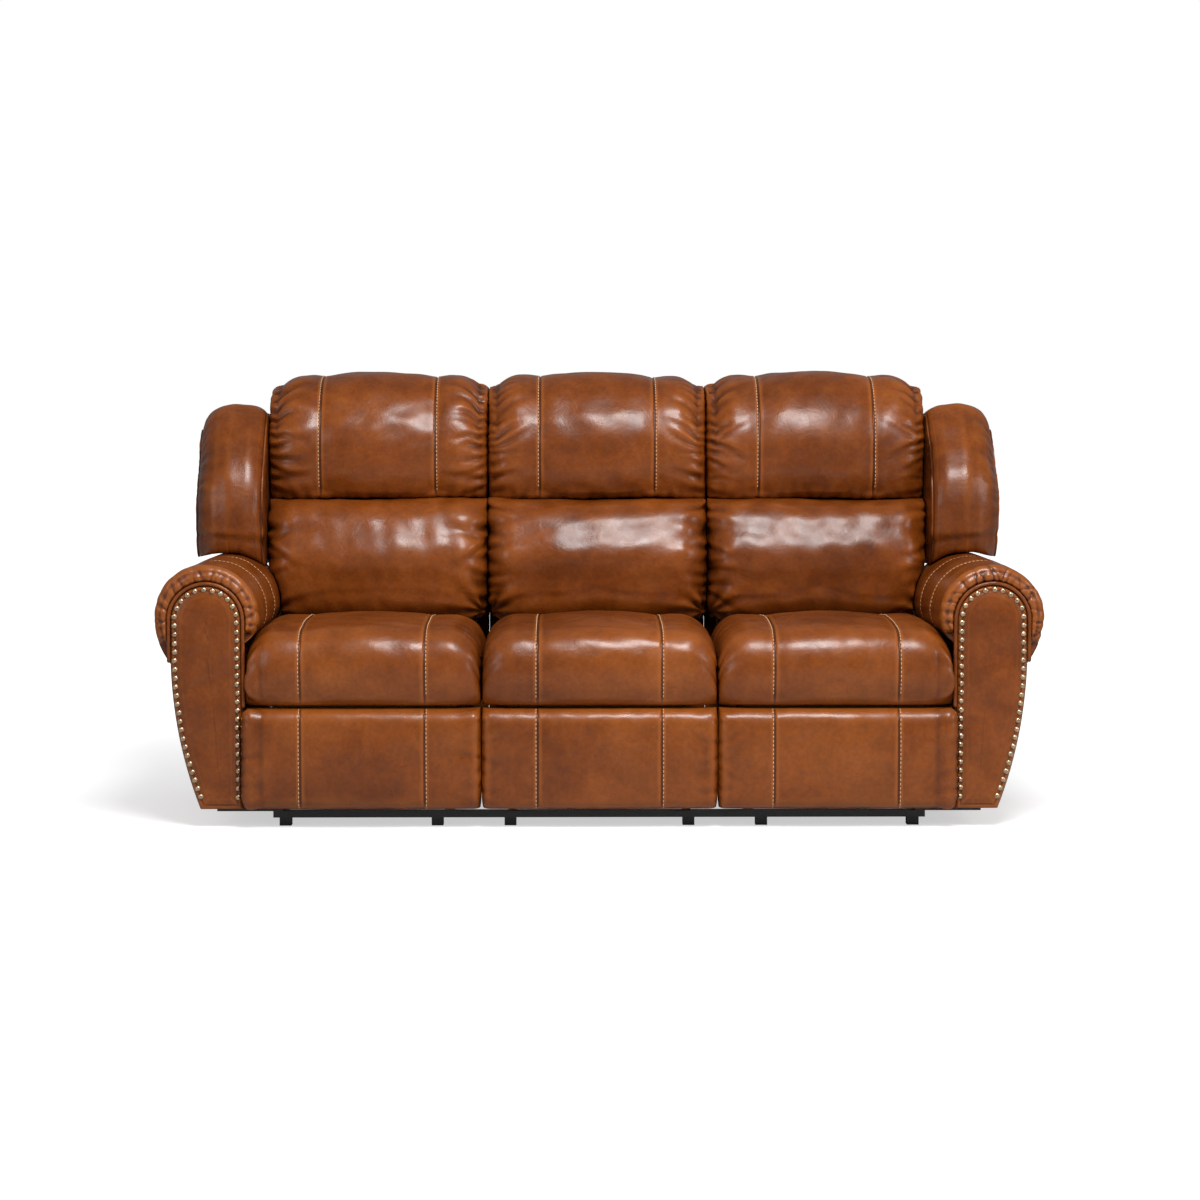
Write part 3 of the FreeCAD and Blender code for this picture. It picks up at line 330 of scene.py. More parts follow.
BLACK_STEEL = plain("black_powder_coat", (0.012, 0.012, 0.013), 0.42, scale=180)
ZINC = plain("zinc_plate", (0.42, 0.43, 0.45), 0.34, 1.0, scale=60, stretch=(1, 6, 1))
WIRE = plain("spring_wire", (0.20, 0.20, 0.21), 0.38, 1.0)
BOARD = plain("sawn_board", (0.52, 0.35, 0.19), 0.72, scale=28, stretch=(1, 9, 9))
FOOT = plain("foot_plastic", (0.010, 0.010, 0.010), 0.5, scale=220)
CUP = plain("cup_plastic", (0.030, 0.018, 0.012), 0.36, scale=160)
BRASS = plain("antique_brass", (0.500, 0.360, 0.230), 0.34, 1.0, scale=150, spread=0.30)
THREAD = plain("waxed_thread", (0.640, 0.400, 0.220), 0.62, scale=500)
print("materials", len(bpy.data.materials))

# %% [markdown]
# A cushion is cut as panels whose side view is a few gentle arcs. The same arcs are used here: a polygon
# with a bulge on each side, sampled evenly and evened out a little so that its corners are rolled, not
# sharp. Each row of the cushion is that outline drawn in by an amount that grows towards the ends.
# %% Outline of a cushion, row by row
def outline_rows(corners, count=ROUND, rolled=10 * MM):
    """Closed outlines from corners (y, z, bulge), each an array over the rows; returns rows, points, (y, z).
    A side is the straight line between two corners, plus its bulge times a parabola that is 1 half way."""
    rows = max(np.size(v) for corner in corners for v in corner)
    table = np.array([[np.broadcast_to(v, rows) for v in corner] for corner in corners]).transpose(2, 0, 1)
    start, stop = table[..., :2], np.roll(table[..., :2], -1, 1)
    length = np.linalg.norm(stop - start, axis=2)
    share = np.maximum(4, np.round(count * length[rows // 2] / length[rows // 2].sum()).astype(int))
    share[share.argmax()] += count - share.sum()
    parts = []
    for k, points in enumerate(share):
        t = np.arange(points) / points
        way = stop[:, k] - start[:, k]
        out = np.stack([way[:, 1], -way[:, 0]], 1) / length[:, k, None]
        bulge = table[:, k, 2, None] * 4 * t * (1 - t)
        parts.append(start[:, k, None] + way[:, None] * t[None, :, None] + out[:, None] * bulge[..., None])
    loops = np.concatenate(parts, 1)
    spread = rolled / (length[rows // 2].sum() / count)
    wave = np.exp(-0.5 * (2 * math.pi * np.fft.fftfreq(count) * spread) ** 2)
    return np.real(np.fft.ifft(np.fft.fft(loops, axis=1) * wave[None, :, None], axis=1))


def row_places(half, seams):
    """X of each row: closer together near the ends and close together at each seam and its stitches."""
    u = np.linspace(-1, 1, ROWS)
    xs = half * (0.62 * u + 0.38 * np.sin(u * math.pi / 2))
    extra = [s * seam + NEAR_SEAM for seam in seams for s in (-1, 1)]
    keep = np.ones(ROWS, dtype=bool)
    for seam in seams:
        keep &= np.abs(np.abs(xs) - seam) > 10 * MM
    return np.sort(np.concatenate([xs[keep]] + extra))


def end_round(x, half, corner):
    """How far the outline is drawn in: nothing in the middle, a quarter circle over the last stretch."""
    t = rise(np.abs(x) - (half - corner), corner)
    return corner * (1 - np.sqrt(1 - 0.985 * t ** 2))


# %% [markdown]
# No leather lies flat. A few sine waves in random directions make it gently uneven, and gathers make the
# short folds where a cover is sewn in. Both are heights, so they can be added up and put on any surface.
# %% Unevenness and folds
def waves(points, size, seed, count=7):
    """A smooth uneven height between about -1 and 1: a sum of sine waves in seeded directions."""
    rng = np.random.default_rng(seed)
    total = np.zeros(points.shape[:-1])
    for _ in range(count):
        way = rng.normal(size=3)
        way *= 2 * math.pi / (size * rng.uniform(0.7, 1.5)) / np.linalg.norm(way)
        total += np.sin(points @ way + rng.uniform(0, 2 * math.pi))
    return total / math.sqrt(count)


def gathers(from_edge, along, places, seed, reach, deep, wide):
    """Folds that start at an edge and die away: each is a narrow valley beside a soft ridge, and it wanders.
    from_edge is the distance from the edge, along the distance measured on the edge."""
    rng = np.random.default_rng(seed)
    total = np.zeros(np.broadcast(from_edge, along).shape)
    for place in places:
        far = reach * rng.uniform(0.55, 1.25)
        width = wide * rng.uniform(0.7, 1.3) * (1 + 0.8 * rise(from_edge, far))
        lean = rng.uniform(-0.35, 0.35)
        off = along - place - lean * from_edge - 0.1 * far * np.sin(from_edge / far * 3 + rng.uniform(0, 6))
        fade = np.clip(1 - from_edge / far, 0, 1) ** 1.3
        valley = np.exp(-(off / width) ** 2)
        ridge = np.exp(-((off - 1.9 * width) / (1.3 * width)) ** 2)
        total += deep * rng.uniform(0.6, 1.2) * fade * (0.55 * ridge - valley)
    return total


# %% [markdown]
# Each cushion is built the same way: rows along X, a slightly domed cap at both ends, sewn grooves with the
# skin swelling between them, and folds where the cover is gathered. Stitches are small separate capsules
# that follow the row just outside a groove, because thread lies on the leather and catches the light.
# %% Build a cushion
CAP_TURN = np.linspace(0, 1, 9)[1:-1] * math.pi / 2


def with_caps(grid, half, dome):
    """Closes both ends with a cap: rings that shrink as a cosine and move out by no more than the dome."""
    caps = []
    for side, ring in ((-1, grid[0]), (1, grid[-1])):
        centre = ring.mean(0)
        cap = centre + (ring - centre) * np.cos(CAP_TURN)[:, None, None]
        cap[..., 0] = side * (half + dome * (1 - np.cos(CAP_TURN) ** 8))[:, None]
        caps.append(cap)
    return np.concatenate([caps[0][::-1], grid, caps[1]])


def seam_height(grid, local, seam, puff, base, rear):
    """A narrow and a wide valley, both bells, at a seam, and a cosine's swelling in the middle. They fade
    towards the base and the rear, where the cover is out of sight."""
    free = rise(grid[..., 2] - base - 8 * MM, 12 * MM) * rise(rear - 30 * MM - grid[..., 1], 40 * MM)
    narrow = SEAM_DEEP * np.exp(-((local - seam) / SEAM_WIDE) ** 2)
    wide = 0.55 * puff * np.exp(-((local - seam) / (26 * MM)) ** 2)
    swelling = 0.6 * puff * np.cos(rise(local, seam) * math.pi / 2) ** 2
    return (swelling - narrow - wide) * free


def within_seat(grid, middle, bulge):
    """X held inside the seat's own width. An outer seat's front may swell past it by the bulge, on the arm's
    side, and behind NOSE_Y that side stays within BESIDE_ARM of the middle."""
    wide = SEAT_HALF - TOUCH
    left = wide + (bulge if middle < 0 else 0)
    right = wide + (bulge if middle > 0 else 0)
    x = np.clip(grid[..., 0], middle - left, middle + right)
    if bulge and middle:
        held = np.clip(np.abs(x), None, abs(middle) + BESIDE_ARM) * np.sign(x)
        x = np.where(grid[..., 1] > NOSE_Y, held, x)
    return x


def pad(name, node, outline, corner, seams=(), dome=3 * MM, puff=5 * MM, rolled=10 * MM, relief=None,
        by_place=False, crown=0.0, bulge=0.0):
    """A cushion skin: returns the piece, its grid and its normals. Its side view is outline(inset), with an
    inset that grows over a quarter circle at each end, or outline(x) with by_place. A height is then added
    along the normal: a valley of a bell's shape at each seam, a swelling between the seams, and what
    relief(grid, along, distance from the middle, half) gives. crown draws the ends in by the square of that
    distance, and bulge lets the front swell over the arm."""
    low, high = corners_of(node)
    middle = (low[0] + high[0]) / 2
    half = (high[0] - low[0]) / 2 - dome if by_place else SEAT_HALF - TOUCH - dome
    middle = middle if by_place else round(middle / (2 * SEAT_HALF)) * 2 * SEAT_HALF
    xs = row_places(half, seams)
    inset = end_round(xs, half, corner) + crown * (xs / half) ** 2
    loops = outline_rows(outline(xs if by_place else inset), rolled=rolled)
    grid = np.concatenate([np.broadcast_to(xs[:, None, None], loops.shape[:2] + (1,)), loops], 2)
    grid = with_caps(grid, half, dome)
    grid[..., 0] += middle
    normal = normals_of(grid)
    local = np.abs(grid[..., 0] - middle)
    gone = run_of(grid[grid.shape[0] // 2])
    along = (gone[-1] - gone)[None, :]
    height = np.zeros(local.shape)
    if seams:
        height += seam_height(grid, local, seams[0], puff, low[2], high[1])
    if bulge:
        ahead = rise(NOSE_Y - 1 * MM - grid[..., 1], 10 * MM)
        side = (grid[..., 0] - middle) * np.sign(middle)
        height += bulge * ahead * ahead * (3 - 2 * ahead) * rise(side - half + 40 * MM, 40 * MM)
    if relief is not None:
        height += relief(grid, along, local, half)
    fading = np.ones(len(grid))
    fading[:len(CAP_TURN)], fading[-len(CAP_TURN):] = np.cos(CAP_TURN[::-1]) ** 2, np.cos(CAP_TURN) ** 2
    height *= fading[:, None]
    grid = grid + normal * height[..., None]
    if not by_place:
        grid[..., 0] = within_seat(grid, middle, bulge)
    normal = normals_of(grid)
    # The value falls towards each end of a cushion, so the ends are painted darker: partly burnish, partly
    # painted shade.
    ends = np.clip(1 - (half - np.abs(grid[..., 0] - middle)) / (75 * MM), 0, 1)
    wear_and_shade = np.clip(wear_and_shade_of(grid, normal) - 0.24 * ends ** 1.5, 0, 1)
    piece = closed_skin(name, grid, {"wear_and_shade": wear_and_shade})
    piece.data.materials.append(HIDE)
    return piece, grid, normal


# %% [markdown]
# Thread shows as a row of short capsules: a stitch comes up, lies on the leather and goes down again. One
# mesh holds all the stitches of a cushion, and each has only a few faces.
# %% Stitches
def capsules(name, centres, ways, outs, long, radius, sides=6):
    """Many small capsules as one mesh, each along its own way; outs are the directions away from the skin."""
    ways = ways / np.linalg.norm(ways, axis=1, keepdims=True)
    outs = outs - (outs * ways).sum(1, keepdims=True) * ways
    outs /= np.linalg.norm(outs, axis=1, keepdims=True)
    cross = np.cross(ways, outs)
    rings = np.array([(-0.5, 0.35), (-0.36, 1.0), (0.36, 1.0), (0.5, 0.35)])
    angle = np.arange(sides) / sides * 2 * math.pi
    x = (rings[:, 0] * long)[None, :, None, None] * ways[:, None, None, :]
    r = (rings[:, 1] * radius)[None, :, None, None]
    up = np.cos(angle)[None, None, :, None] * outs[:, None, None, :]
    aside = np.sin(angle)[None, None, :, None] * cross[:, None, None, :]
    y = r * (up + aside)
    points = (centres[:, None, None, :] + x + y).reshape(-1, 3)
    body = grid_faces(4, sides)
    ends = [list(range(sides))[::-1], list(range(3 * sides, 4 * sides))]
    faces = []
    for k in range(len(centres)):
        shift = k * 4 * sides
        faces += (body[:, ::-1] + shift).tolist()
        faces += [[v + shift for v in end[::-1]] for end in ends]
    piece = mesh_piece(name, points, faces)
    piece.data.materials.append(THREAD)
    return piece


def stitch_line(path, normals, keep):
    """Centres, ways and outward directions of the stitches along one line of points."""
    path, normals = path[keep], normals[keep]
    gone = run_of(path)
    at = np.arange(STITCH_PITCH, gone[-1] - STITCH_PITCH, STITCH_PITCH)
    centre = points_at(at, gone, path)
    ahead = points_at(at + 1 * MM, gone, path)
    out = points_at(at, gone, normals)
    return centre + out * 0.25 * MM, ahead - centre, out


def seam_stitches(name, grid, normal, middle, seam, visible):
    """Stitches beside both seams of a cushion; visible(points) tells where the thread shows."""
    parts = []
    for side in (-1, 1):
        row = np.abs(grid[:, 0, 0] - (middle + side * (seam + 4 * MM))).argmin()
        line, out = grid[row], normal[row]
        keep = visible(line)
        first = int(np.flatnonzero(~keep & np.roll(keep, -1))[0]) + 1
        line, out, keep = (np.roll(v, -first, 0) for v in (line, out, keep))
        parts.append(stitch_line(line, out, keep))
    return capsules(name, *(np.concatenate(group) for group in zip(*parts)), STITCH_LONG, STITCH_R)


# %% [markdown]
# The outer seats move and the middle one doesn't. A cushion takes the place of its plain node in the frame,
# and its stitches ride on the same body.
# %% What each piece rides on
def body_of(side, part):
    """The body of an outer seat's part starts with its side; the middle seat is part of the base."""
    return "base" if side == "centre" else f"{side}_{part}"


def dress(piece, node, body):
    """Hides the node that a padded piece replaces and puts the piece on the body that it rides on."""
    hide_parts(node)
    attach(piece, body)


def follow(piece, body):
    """A small piece that rides on the same body as the cushion that it is sewn to."""
    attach(piece, body)


SEATS = ("left", "centre", "right")
print("seats", SEATS)

# %% [markdown]
# The seat cushion is a waterfall shape: flat where it rests on the springs, crowned on top, and rolled over
# at the front into a deep nose. Its top corners are well rounded and the nose swells out a little between
# seams.
# %% Seat cushions
def make_seat_cushion(side, seed):
    """Seat cushion: six arcs round its side view, drawn in towards its ends, with folds on its top."""
    node = f"{side}_seat_cushion"
    low, high = corners_of(node)
    front, rear, base, top = low[1] + 8 * MM, high[1], low[2], high[2] - 14 * MM

    def outline(inset):
        drop = top - 1.0 * inset
        return [(front + 22 * MM + 0.5 * inset, base, 0), (rear - 6 * MM - 0.2 * inset, base, 5 * MM),
                (rear - 8 * MM - 0.2 * inset, drop - 30 * MM, 8 * MM), (rear - 42 * MM, drop, 12 * MM),
                (front + 66 * MM, drop, 15 * MM), (front + 0.5 * inset, drop - 62 * MM, 13 * MM)]

    def relief(grid, along, local, half):
        edge = half - local
        top_side = rise(grid[..., 2] - base - 20 * MM, 60 * MM)
        soft = 1.3 * MM * waves(grid, 0.16, seed) + 0.5 * MM * waves(grid, 0.05, seed + 1)
        back = rise(grid[..., 1] + 0.02, 0.12)
        marks = gathers(edge, along, np.linspace(0.12, 0.80, 13), seed + 2, 95 * MM, 2.2 * MM, 8 * MM)
        return top_side * (soft * (1 + back) + marks)
    piece, grid, normal = pad(f"{side}_seat_skin", node, outline, 78 * MM, (SEAM_OUT,), relief=relief,
                              puff=6 * MM, rolled=13 * MM, crown=7 * MM, bulge=18 * MM)
    dress(piece, node, body_of(side, "seat"))
    thread = seam_stitches(f"{side}_seat_stitches", grid, normal, (low[0] + high[0]) / 2, SEAM_OUT,
                           lambda p: (p[:, 2] > base + 14 * MM) & (p[:, 1] < rear - 45 * MM))
    follow(thread, body_of(side, "seat"))


for index, side in enumerate(SEATS):
    make_seat_cushion(side, 100 + index)
print("seat cushions made")

# %% [markdown]
# The footrest pads and the middle seat's matching front are thinner: a flat box of foam with rolled edges,
# and the same two seams in line with those above.
# %% Footrest pads
def make_leg_pad(side, seed):
    """Footrest pad: a flat box with a rolled front, and folds that start at its ends."""
    node = "centre_front_pad" if side == "centre" else f"{side}_footrest_pad"
    low, high = corners_of(node)
    front, rear, base, top = low[1] + 11 * MM, high[1], low[2] + 4 * MM, high[2] - 5 * MM

    def outline(inset):
        return [(front + 24 * MM + inset, base + 0.2 * inset, 3 * MM), (rear, base + 0.2 * inset, 0),
                (rear, top, 2 * MM), (front + 22 * MM + inset, top, 5 * MM),
                (front + inset, top - 28 * MM, 4 * MM), (front + inset, base + 26 * MM, 6 * MM)]

    def relief(grid, along, local, half):
        face = rise(rear - 30 * MM - grid[..., 1], 20 * MM)
        marks = gathers(half - local, along, np.linspace(0.02, 0.30, 8), seed + 2, 70 * MM, 1.3 * MM, 8 * MM)
        return face * (1.0 * MM * waves(grid, 0.15, seed) + 0.4 * MM * waves(grid, 0.05, seed + 1) + marks)
    piece, grid, normal = pad(f"{side}_leg_skin", node, outline, 18 * MM, (SEAM_OUT,), relief=relief,
                              puff=5 * MM, rolled=8 * MM, crown=3 * MM, bulge=11 * MM)
    body = body_of(side, "footrest")
    dress(piece, node, body)
    thread = seam_stitches(f"{side}_leg_stitches", grid, normal, (low[0] + high[0]) / 2, SEAM_OUT,
                           lambda p: p[:, 1] < rear - 30 * MM)
    follow(thread, body)


for index, side in enumerate(SEATS):
    make_leg_pad(side, 200 + index)
print("footrest pads made")

# %% [markdown]
# The backs lean, so their cushions are drawn against a leaning line: the front of the wooden back. A
# cushion never passes that line, it only swells away from it.
# %% The leaning line behind the cushions
LEAN = math.radians(18)
# A point on the rear face of the backs, how far the boards and the covers lie in front of it, and its top.
REAR_Y, REAR_Z = 250.3 * MM, 300 * MM
BOARD_DEEP, COVER_DEEP = 60.3 * MM, 4.3 * MM
FRAME_TOP = 1070.8 * MM


def line_of_back(z, deep):
    """Y of the leaning line at a height, this far in front of the rear face of the back."""
    return REAR_Y + (z - REAR_Z) * math.tan(LEAN) - deep / math.cos(LEAN)


# %% [markdown]
# The lumbar cushion is a soft sausage between the seat and the pillow. Its cover is fuller than its foam,
# so the leather puckers where it is sewn in at the two lower corners, and a few long folds run up from
# there.
# %% Lumbar cushions
def make_lumbar(side, seed):
    """Lumbar cushion: a sausage on the leaning line, with creases as a cosine of the angle at a corner."""
    node = f"{side}_back_cushion"
    low, high = corners_of(node)
    base, top, deep = low[2], high[2], BOARD_DEEP
    front = low[1] + 10 * MM
    outer = {"left": -1, "centre": 0, "right": 1}[side]
    middle = (low[0] + high[0]) / 2

    def outline(inset):
        low_edge = base + 0.2 * inset
        return [(front + 56 * MM + inset, low_edge, 0), (line_of_back(base, deep), low_edge, 0),
                (line_of_back(top, deep), top, 0), (front + 98 * MM + 0.5 * inset, top, 17 * MM),
                (front + 22 * MM + inset, top - 80 * MM, 17 * MM),
                (front + 4 * MM + inset, base + 112 * MM, 17 * MM)]

    def relief(grid, along, local, half):
        height = grid[..., 2] - base
        face = rise(line_of_back(grid[..., 2], deep) - 30 * MM - grid[..., 1], 30 * MM)
        soft = 2.0 * MM * waves(grid, 0.22, seed) + 0.9 * MM * waves(grid, 0.07, seed + 1)
        edge = half - local
        side_marks = gathers(edge, height, np.linspace(0.03, 0.29, 9), seed + 2, 130 * MM, 4.4 * MM, 9 * MM)
        corner = np.sign(grid[..., 0] - middle)
        away = np.hypot(edge - 6 * MM, height - 24 * MM)
        angle = np.arctan2(height - 24 * MM, edge - 6 * MM)
        fan = np.cos(angle * 8.5 + 2.0 * corner + 18 * away) * np.clip(1 - away / (165 * MM), 0, 1) ** 1.2
        fold_at = 46 * MM + 0.16 * edge + 6 * MM * np.sin(edge * 24 + seed)
        long_fold = np.exp(-((height - fold_at) / (10 * MM)) ** 2) * rise(edge, 60 * MM)
        return face * (soft + side_marks + 4.2 * MM * fan - 2.0 * MM * long_fold)
    piece, _, _ = pad(f"{side}_lumbar_skin", node, outline, 70 * MM, relief=relief, rolled=13 * MM,
                      crown=12 * MM)
    if outer:
        move_beside_roll(piece, outer)
    dress(piece, node, body_of(side, "back"))


def move_beside_roll(piece, outer):
    """Keeps a lumbar cushion clear of the arm's roll: no point comes nearer to the roll's middle line than
    its radius and a little more, and what is further out is drawn in along X and squeezed together."""
    mesh = piece.data
    points = np.empty(len(mesh.vertices) * 3)
    mesh.vertices.foreach_get("co", points)
    points = points.reshape(-1, 3)
    clear, above = ROLL_R + 1.6 * MM, points[:, 2] - ROLL_Z
    limit = OUT_X - np.sqrt(np.clip(clear ** 2 - above ** 2, 0, None))
    limit = np.where(np.abs(above) < clear, limit, 2.0)
    reach = points[:, 0] * outer
    soft = 9 * MM
    over = np.clip(reach - (limit - soft), 0, None)
    points[:, 0] = outer * (reach - over + soft * np.tanh(over / soft * 0.95))
    mesh.vertices.foreach_set("co", points.ravel())
    mesh.update()


for index, side in enumerate(SEATS):
    make_lumbar(side, 300 + index)
print("lumbar cushions made")

# %% [markdown]
# The head pillow is the fullest piece: a bag of soft filling sewn with two seams, with its sides pulled
# tight into the frame. The leather is ruched there, so short folds run inwards from each side.
# %% Head pillows
def make_pillow(side, seed):
    """Head pillow: a bag that reaches over the frame's top, with folds inwards from its ends."""
    node = f"{side}_head_pillow"
    low, high = corners_of(node)
    base, top, over = low[2], high[2] - 4 * MM, FRAME_TOP
    deep, skin = BOARD_DEEP, COVER_DEEP
    front = low[1] + 8 * MM
    middle = (low[0] + high[0]) / 2

    def outline(inset):
        crest = np.maximum(top - 1.1 * inset, over + 3 * MM)
        brow = np.minimum(over, crest - 14 * MM)
        return [(front + 36 * MM + 0.6 * inset, base, 0), (line_of_back(base, deep), base, 0),
                (line_of_back(brow, deep), brow, 0), (line_of_back(brow, skin), brow, 0),
                (line_of_back(brow + 10 * MM, skin), brow + 10 * MM, 0),
                (line_of_back(brow + 12 * MM, skin) - 28 * MM, crest, 8 * MM),
                (front + 130 * MM, crest + 3 * MM, 13 * MM),
                (front + 30 * MM + 0.6 * inset, crest - 76 * MM, 12 * MM),
                (front + 0.6 * inset, base + 108 * MM, 12 * MM)]

    def relief(grid, along, local, half):
        height = grid[..., 2] - base
        face = rise(line_of_back(grid[..., 2], deep) - 26 * MM - grid[..., 1], 34 * MM)
        edge = half - local
        ruche = gathers(edge, along, np.arange(0.02, 0.62, 0.026), seed + 2, 118 * MM, 6.2 * MM, 7.0 * MM)
        ruche = ruche * np.clip(edge / (10 * MM), 0.25, 1)
        lower = gathers(height, local, np.arange(0.02, 0.33, 0.034), seed + 3, 60 * MM, 1.6 * MM, 8 * MM)
        soft = 2.0 * MM * waves(grid, 0.2, seed) + 0.8 * MM * waves(grid, 0.06, seed + 1)
        return face * (soft + ruche + lower)
    piece, grid, normal = pad(f"{side}_pillow_skin", node, outline, 80 * MM, (SEAM_OUT,), relief=relief,
                              puff=9 * MM, rolled=12 * MM, crown=9 * MM)
    body = body_of(side, "back")
    dress(piece, node, body)

    def shows(line):
        return (line[:, 2] > base + 12 * MM) & (line[:, 1] < line_of_back(line[:, 2], deep) - 24 * MM)
    thread = seam_stitches(f"{side}_pillow_stitches", grid, normal, middle, SEAM_OUT, shows)
    follow(thread, body)


for index, side in enumerate(SEATS):
    make_pillow(side, 400 + index)
print("head pillows made")

# %% [markdown]
# The wings are flat side cushions that lean with the back. Their outer edge is rolled back and gathered,
# and the leather sags into one deep fold where the wing meets the arm.
# %% Wings
def smooth_steps(at, places, values):
    """A smooth curve through a table: straight steps, evened out over a short stretch on both sides."""
    shift = np.linspace(-0.09, 0.09, 19)
    weight = np.exp(-0.5 * (shift / 0.04) ** 2)
    near_end = np.clip(np.minimum(at, 1 - at) / 0.09, 0.02, 1)
    total = sum(w * np.interp(np.clip(at + s * near_end, 0, 1), places, values)
                for s, w in zip(shift, weight))
    return total / weight.sum()


WING_SHARE = (0, 0.03, 0.08, 0.2, 0.5, 0.72, 0.86, 0.95, 1.0)
WING_INSET = (26 * MM, 16 * MM, 8 * MM, 0, -4 * MM, 3 * MM, 16 * MM, 38 * MM, 64 * MM)


def make_wing(side, outer, seed):
    """Wing: a flat cushion, drawn in by a smooth curve from its inner to its outer edge."""
    node = f"{side}_wing"
    low, high = corners_of(node)
    base, top, deep = low[2] - 8 * MM, high[2] - 5 * MM, COVER_DEEP
    front = low[1] + 7 * MM
    middle, half = (low[0] + high[0]) / 2, (high[0] - low[0]) / 2 - 6 * MM

    def outline(rows_x):
        inset = smooth_steps((rows_x * outer + half) / (2 * half), WING_SHARE, WING_INSET)
        from_roll = rows_x * outer + middle * outer - OUT_X
        crest = ROLL_Z + np.sqrt((ROLL_R + 1.5 * MM) ** 2 - np.clip(from_roll, -120 * MM, 120 * MM) ** 2)
        sunk = np.minimum(base, crest)
        foot, brow = sunk + 0.3 * np.where(from_roll < 0, 0, inset), top - inset
        return [(front + 22 * MM + inset, foot, 0), (line_of_back(foot, deep), foot, 0),
                (line_of_back(brow - 30 * MM, deep), brow - 30 * MM, 0), (front + 190 * MM, brow, 10 * MM),
                (front + 62 * MM + inset, brow - 110 * MM, 14 * MM),
                (front + inset, base + 120 * MM, 10 * MM)]

    def relief(grid, along, local, half_wide):
        height = grid[..., 2] - base
        face = rise(line_of_back(grid[..., 2], deep) - 24 * MM - grid[..., 1], 30 * MM)
        x_out = (grid[..., 0] - middle) * outer
        edge = half - x_out
        ruche = gathers(edge, along, np.arange(0.06, 0.56, 0.036), seed + 2, 78 * MM, 2.8 * MM, 8 * MM)
        fold = np.exp(-((height - (40 * MM + 0.12 * x_out)) / (8 * MM)) ** 2)
        fold = fold - 0.6 * np.exp(-((height - 58 * MM) / (12 * MM)) ** 2)
        soft = 2.2 * MM * waves(grid, 0.18, seed) + 0.8 * MM * waves(grid, 0.06, seed + 1)
        return face * (soft + ruche * np.clip(edge / (12 * MM), 0.2, 1) - 3.0 * MM * fold)
    piece, _, _ = pad(f"{side}_wing_skin", node, outline, 0, relief=relief, rolled=12 * MM, by_place=True)
    dress(piece, node, f"{side}_back")


for index, (side, outer) in enumerate(SIDES):
    make_wing(side, outer, 500 + index)
print("wings made")

# %% [markdown]
# An arm is a leather tube over a padded board. Its sections keep the frame's own outline: round above,
# tucked in to the inner face, and drawn out in a soft lip over the outer face. The numbers are those of the
# frame.
# %% Outline of the arm's roll
ARCH_Z, ARCH_R, LIP_Z = 510 * MM, 86 * MM, 402.6 * MM
INNER_X, OUTER_X, FOOT_X, ARM_LOW = 874 * MM, 1051 * MM, 981 * MM, 45 * MM
ARM_FRONT, PANEL_REAR, WELT_R = -465 * MM, -447.6 * MM, 4 * MM


def arc_points(start, through, stop, count):
    """Points on the circle through three points, from the first towards the last; the last is left out."""
    (ax, ay), (bx, by), (cx, cy) = start, through, stop
    d = 2 * (ax * (by - cy) + bx * (cy - ay) + cx * (ay - by))
    a2, b2, c2 = ax * ax + ay * ay, bx * bx + by * by, cx * cx + cy * cy
    ux = (a2 * (by - cy) + b2 * (cy - ay) + c2 * (ay - by)) / d
    uy = (a2 * (cx - bx) + b2 * (ax - cx) + c2 * (bx - ax)) / d
    first, middle, last = (math.atan2(y - uy, x - ux) for x, y in (start, through, stop))
    turn = (last - first) % (2 * math.pi)
    if (middle - first) % (2 * math.pi) > turn:
        turn -= 2 * math.pi
    angle = first + turn * np.arange(count) / count
    radius = math.hypot(ax - ux, ay - uy)
    return np.stack([ux + radius * np.cos(angle), uy + radius * np.sin(angle)], 1)


def line_points(start, stop, count):
    """Evenly spaced points from one point to another; the last is left out."""
    t = np.arange(count)[:, None] / count
    return np.array(start) * (1 - t) + np.array(stop) * t


def even(loop, count):
    """The same closed line with this many points, evenly spaced along it."""
    closed = np.vstack([loop, loop[:1]])
    gone = run_of(closed)
    at = np.arange(count) / count * gone[-1]
    return points_at(at, gone, closed)


RIM = 17 * MM
ROLL_SKIN = ROLL_R - 1.5 * MM
RIM_END, SINK_Y, ROLL_END = ARM_FRONT + 20.5 * MM, 160 * MM, 260 * MM
ROLL_SEAMS = (-235 * MM, -40 * MM)


def roll_loop(middle_z, radius, shrink):
    """The roll's outline (x, z) at one place, from its inner foot over the top to its outer lip and back.
    Corresponding points of two outlines lie at the same share of the same side."""
    inner, outer, r = INNER_X + shrink, OUTER_X - shrink, radius - shrink
    part = r / ROLL_R
    neck = middle_z - 67 * MM * part
    left, right, top = (OUT_X - r, middle_z), (OUT_X + r, middle_z), (OUT_X, middle_z + r)
    chord = ((right[0] + outer) / 2, (right[1] + LIP_Z) / 2)
    lean = math.hypot(right[1] - LIP_Z, right[0] - outer)
    out = 10 * MM * part / lean
    belly = (chord[0] + out * (right[1] - LIP_Z), chord[1] - out * (right[0] - outer))
    return np.concatenate([
        line_points((inner, LIP_Z), (inner, neck), 24),
        arc_points((inner, neck), (OUT_X - 118.8 * MM * part, middle_z - 39.4 * MM * part), left, 40),
        arc_points(left, (OUT_X - r * 0.7071, middle_z + r * 0.7071), top, 110),
        arc_points(top, (OUT_X + r * 0.7071, middle_z + r * 0.7071), right, 110),
        arc_points(right, belly, (outer, LIP_Z), 70),
        line_points((outer, LIP_Z), (inner, LIP_Z), 66)])


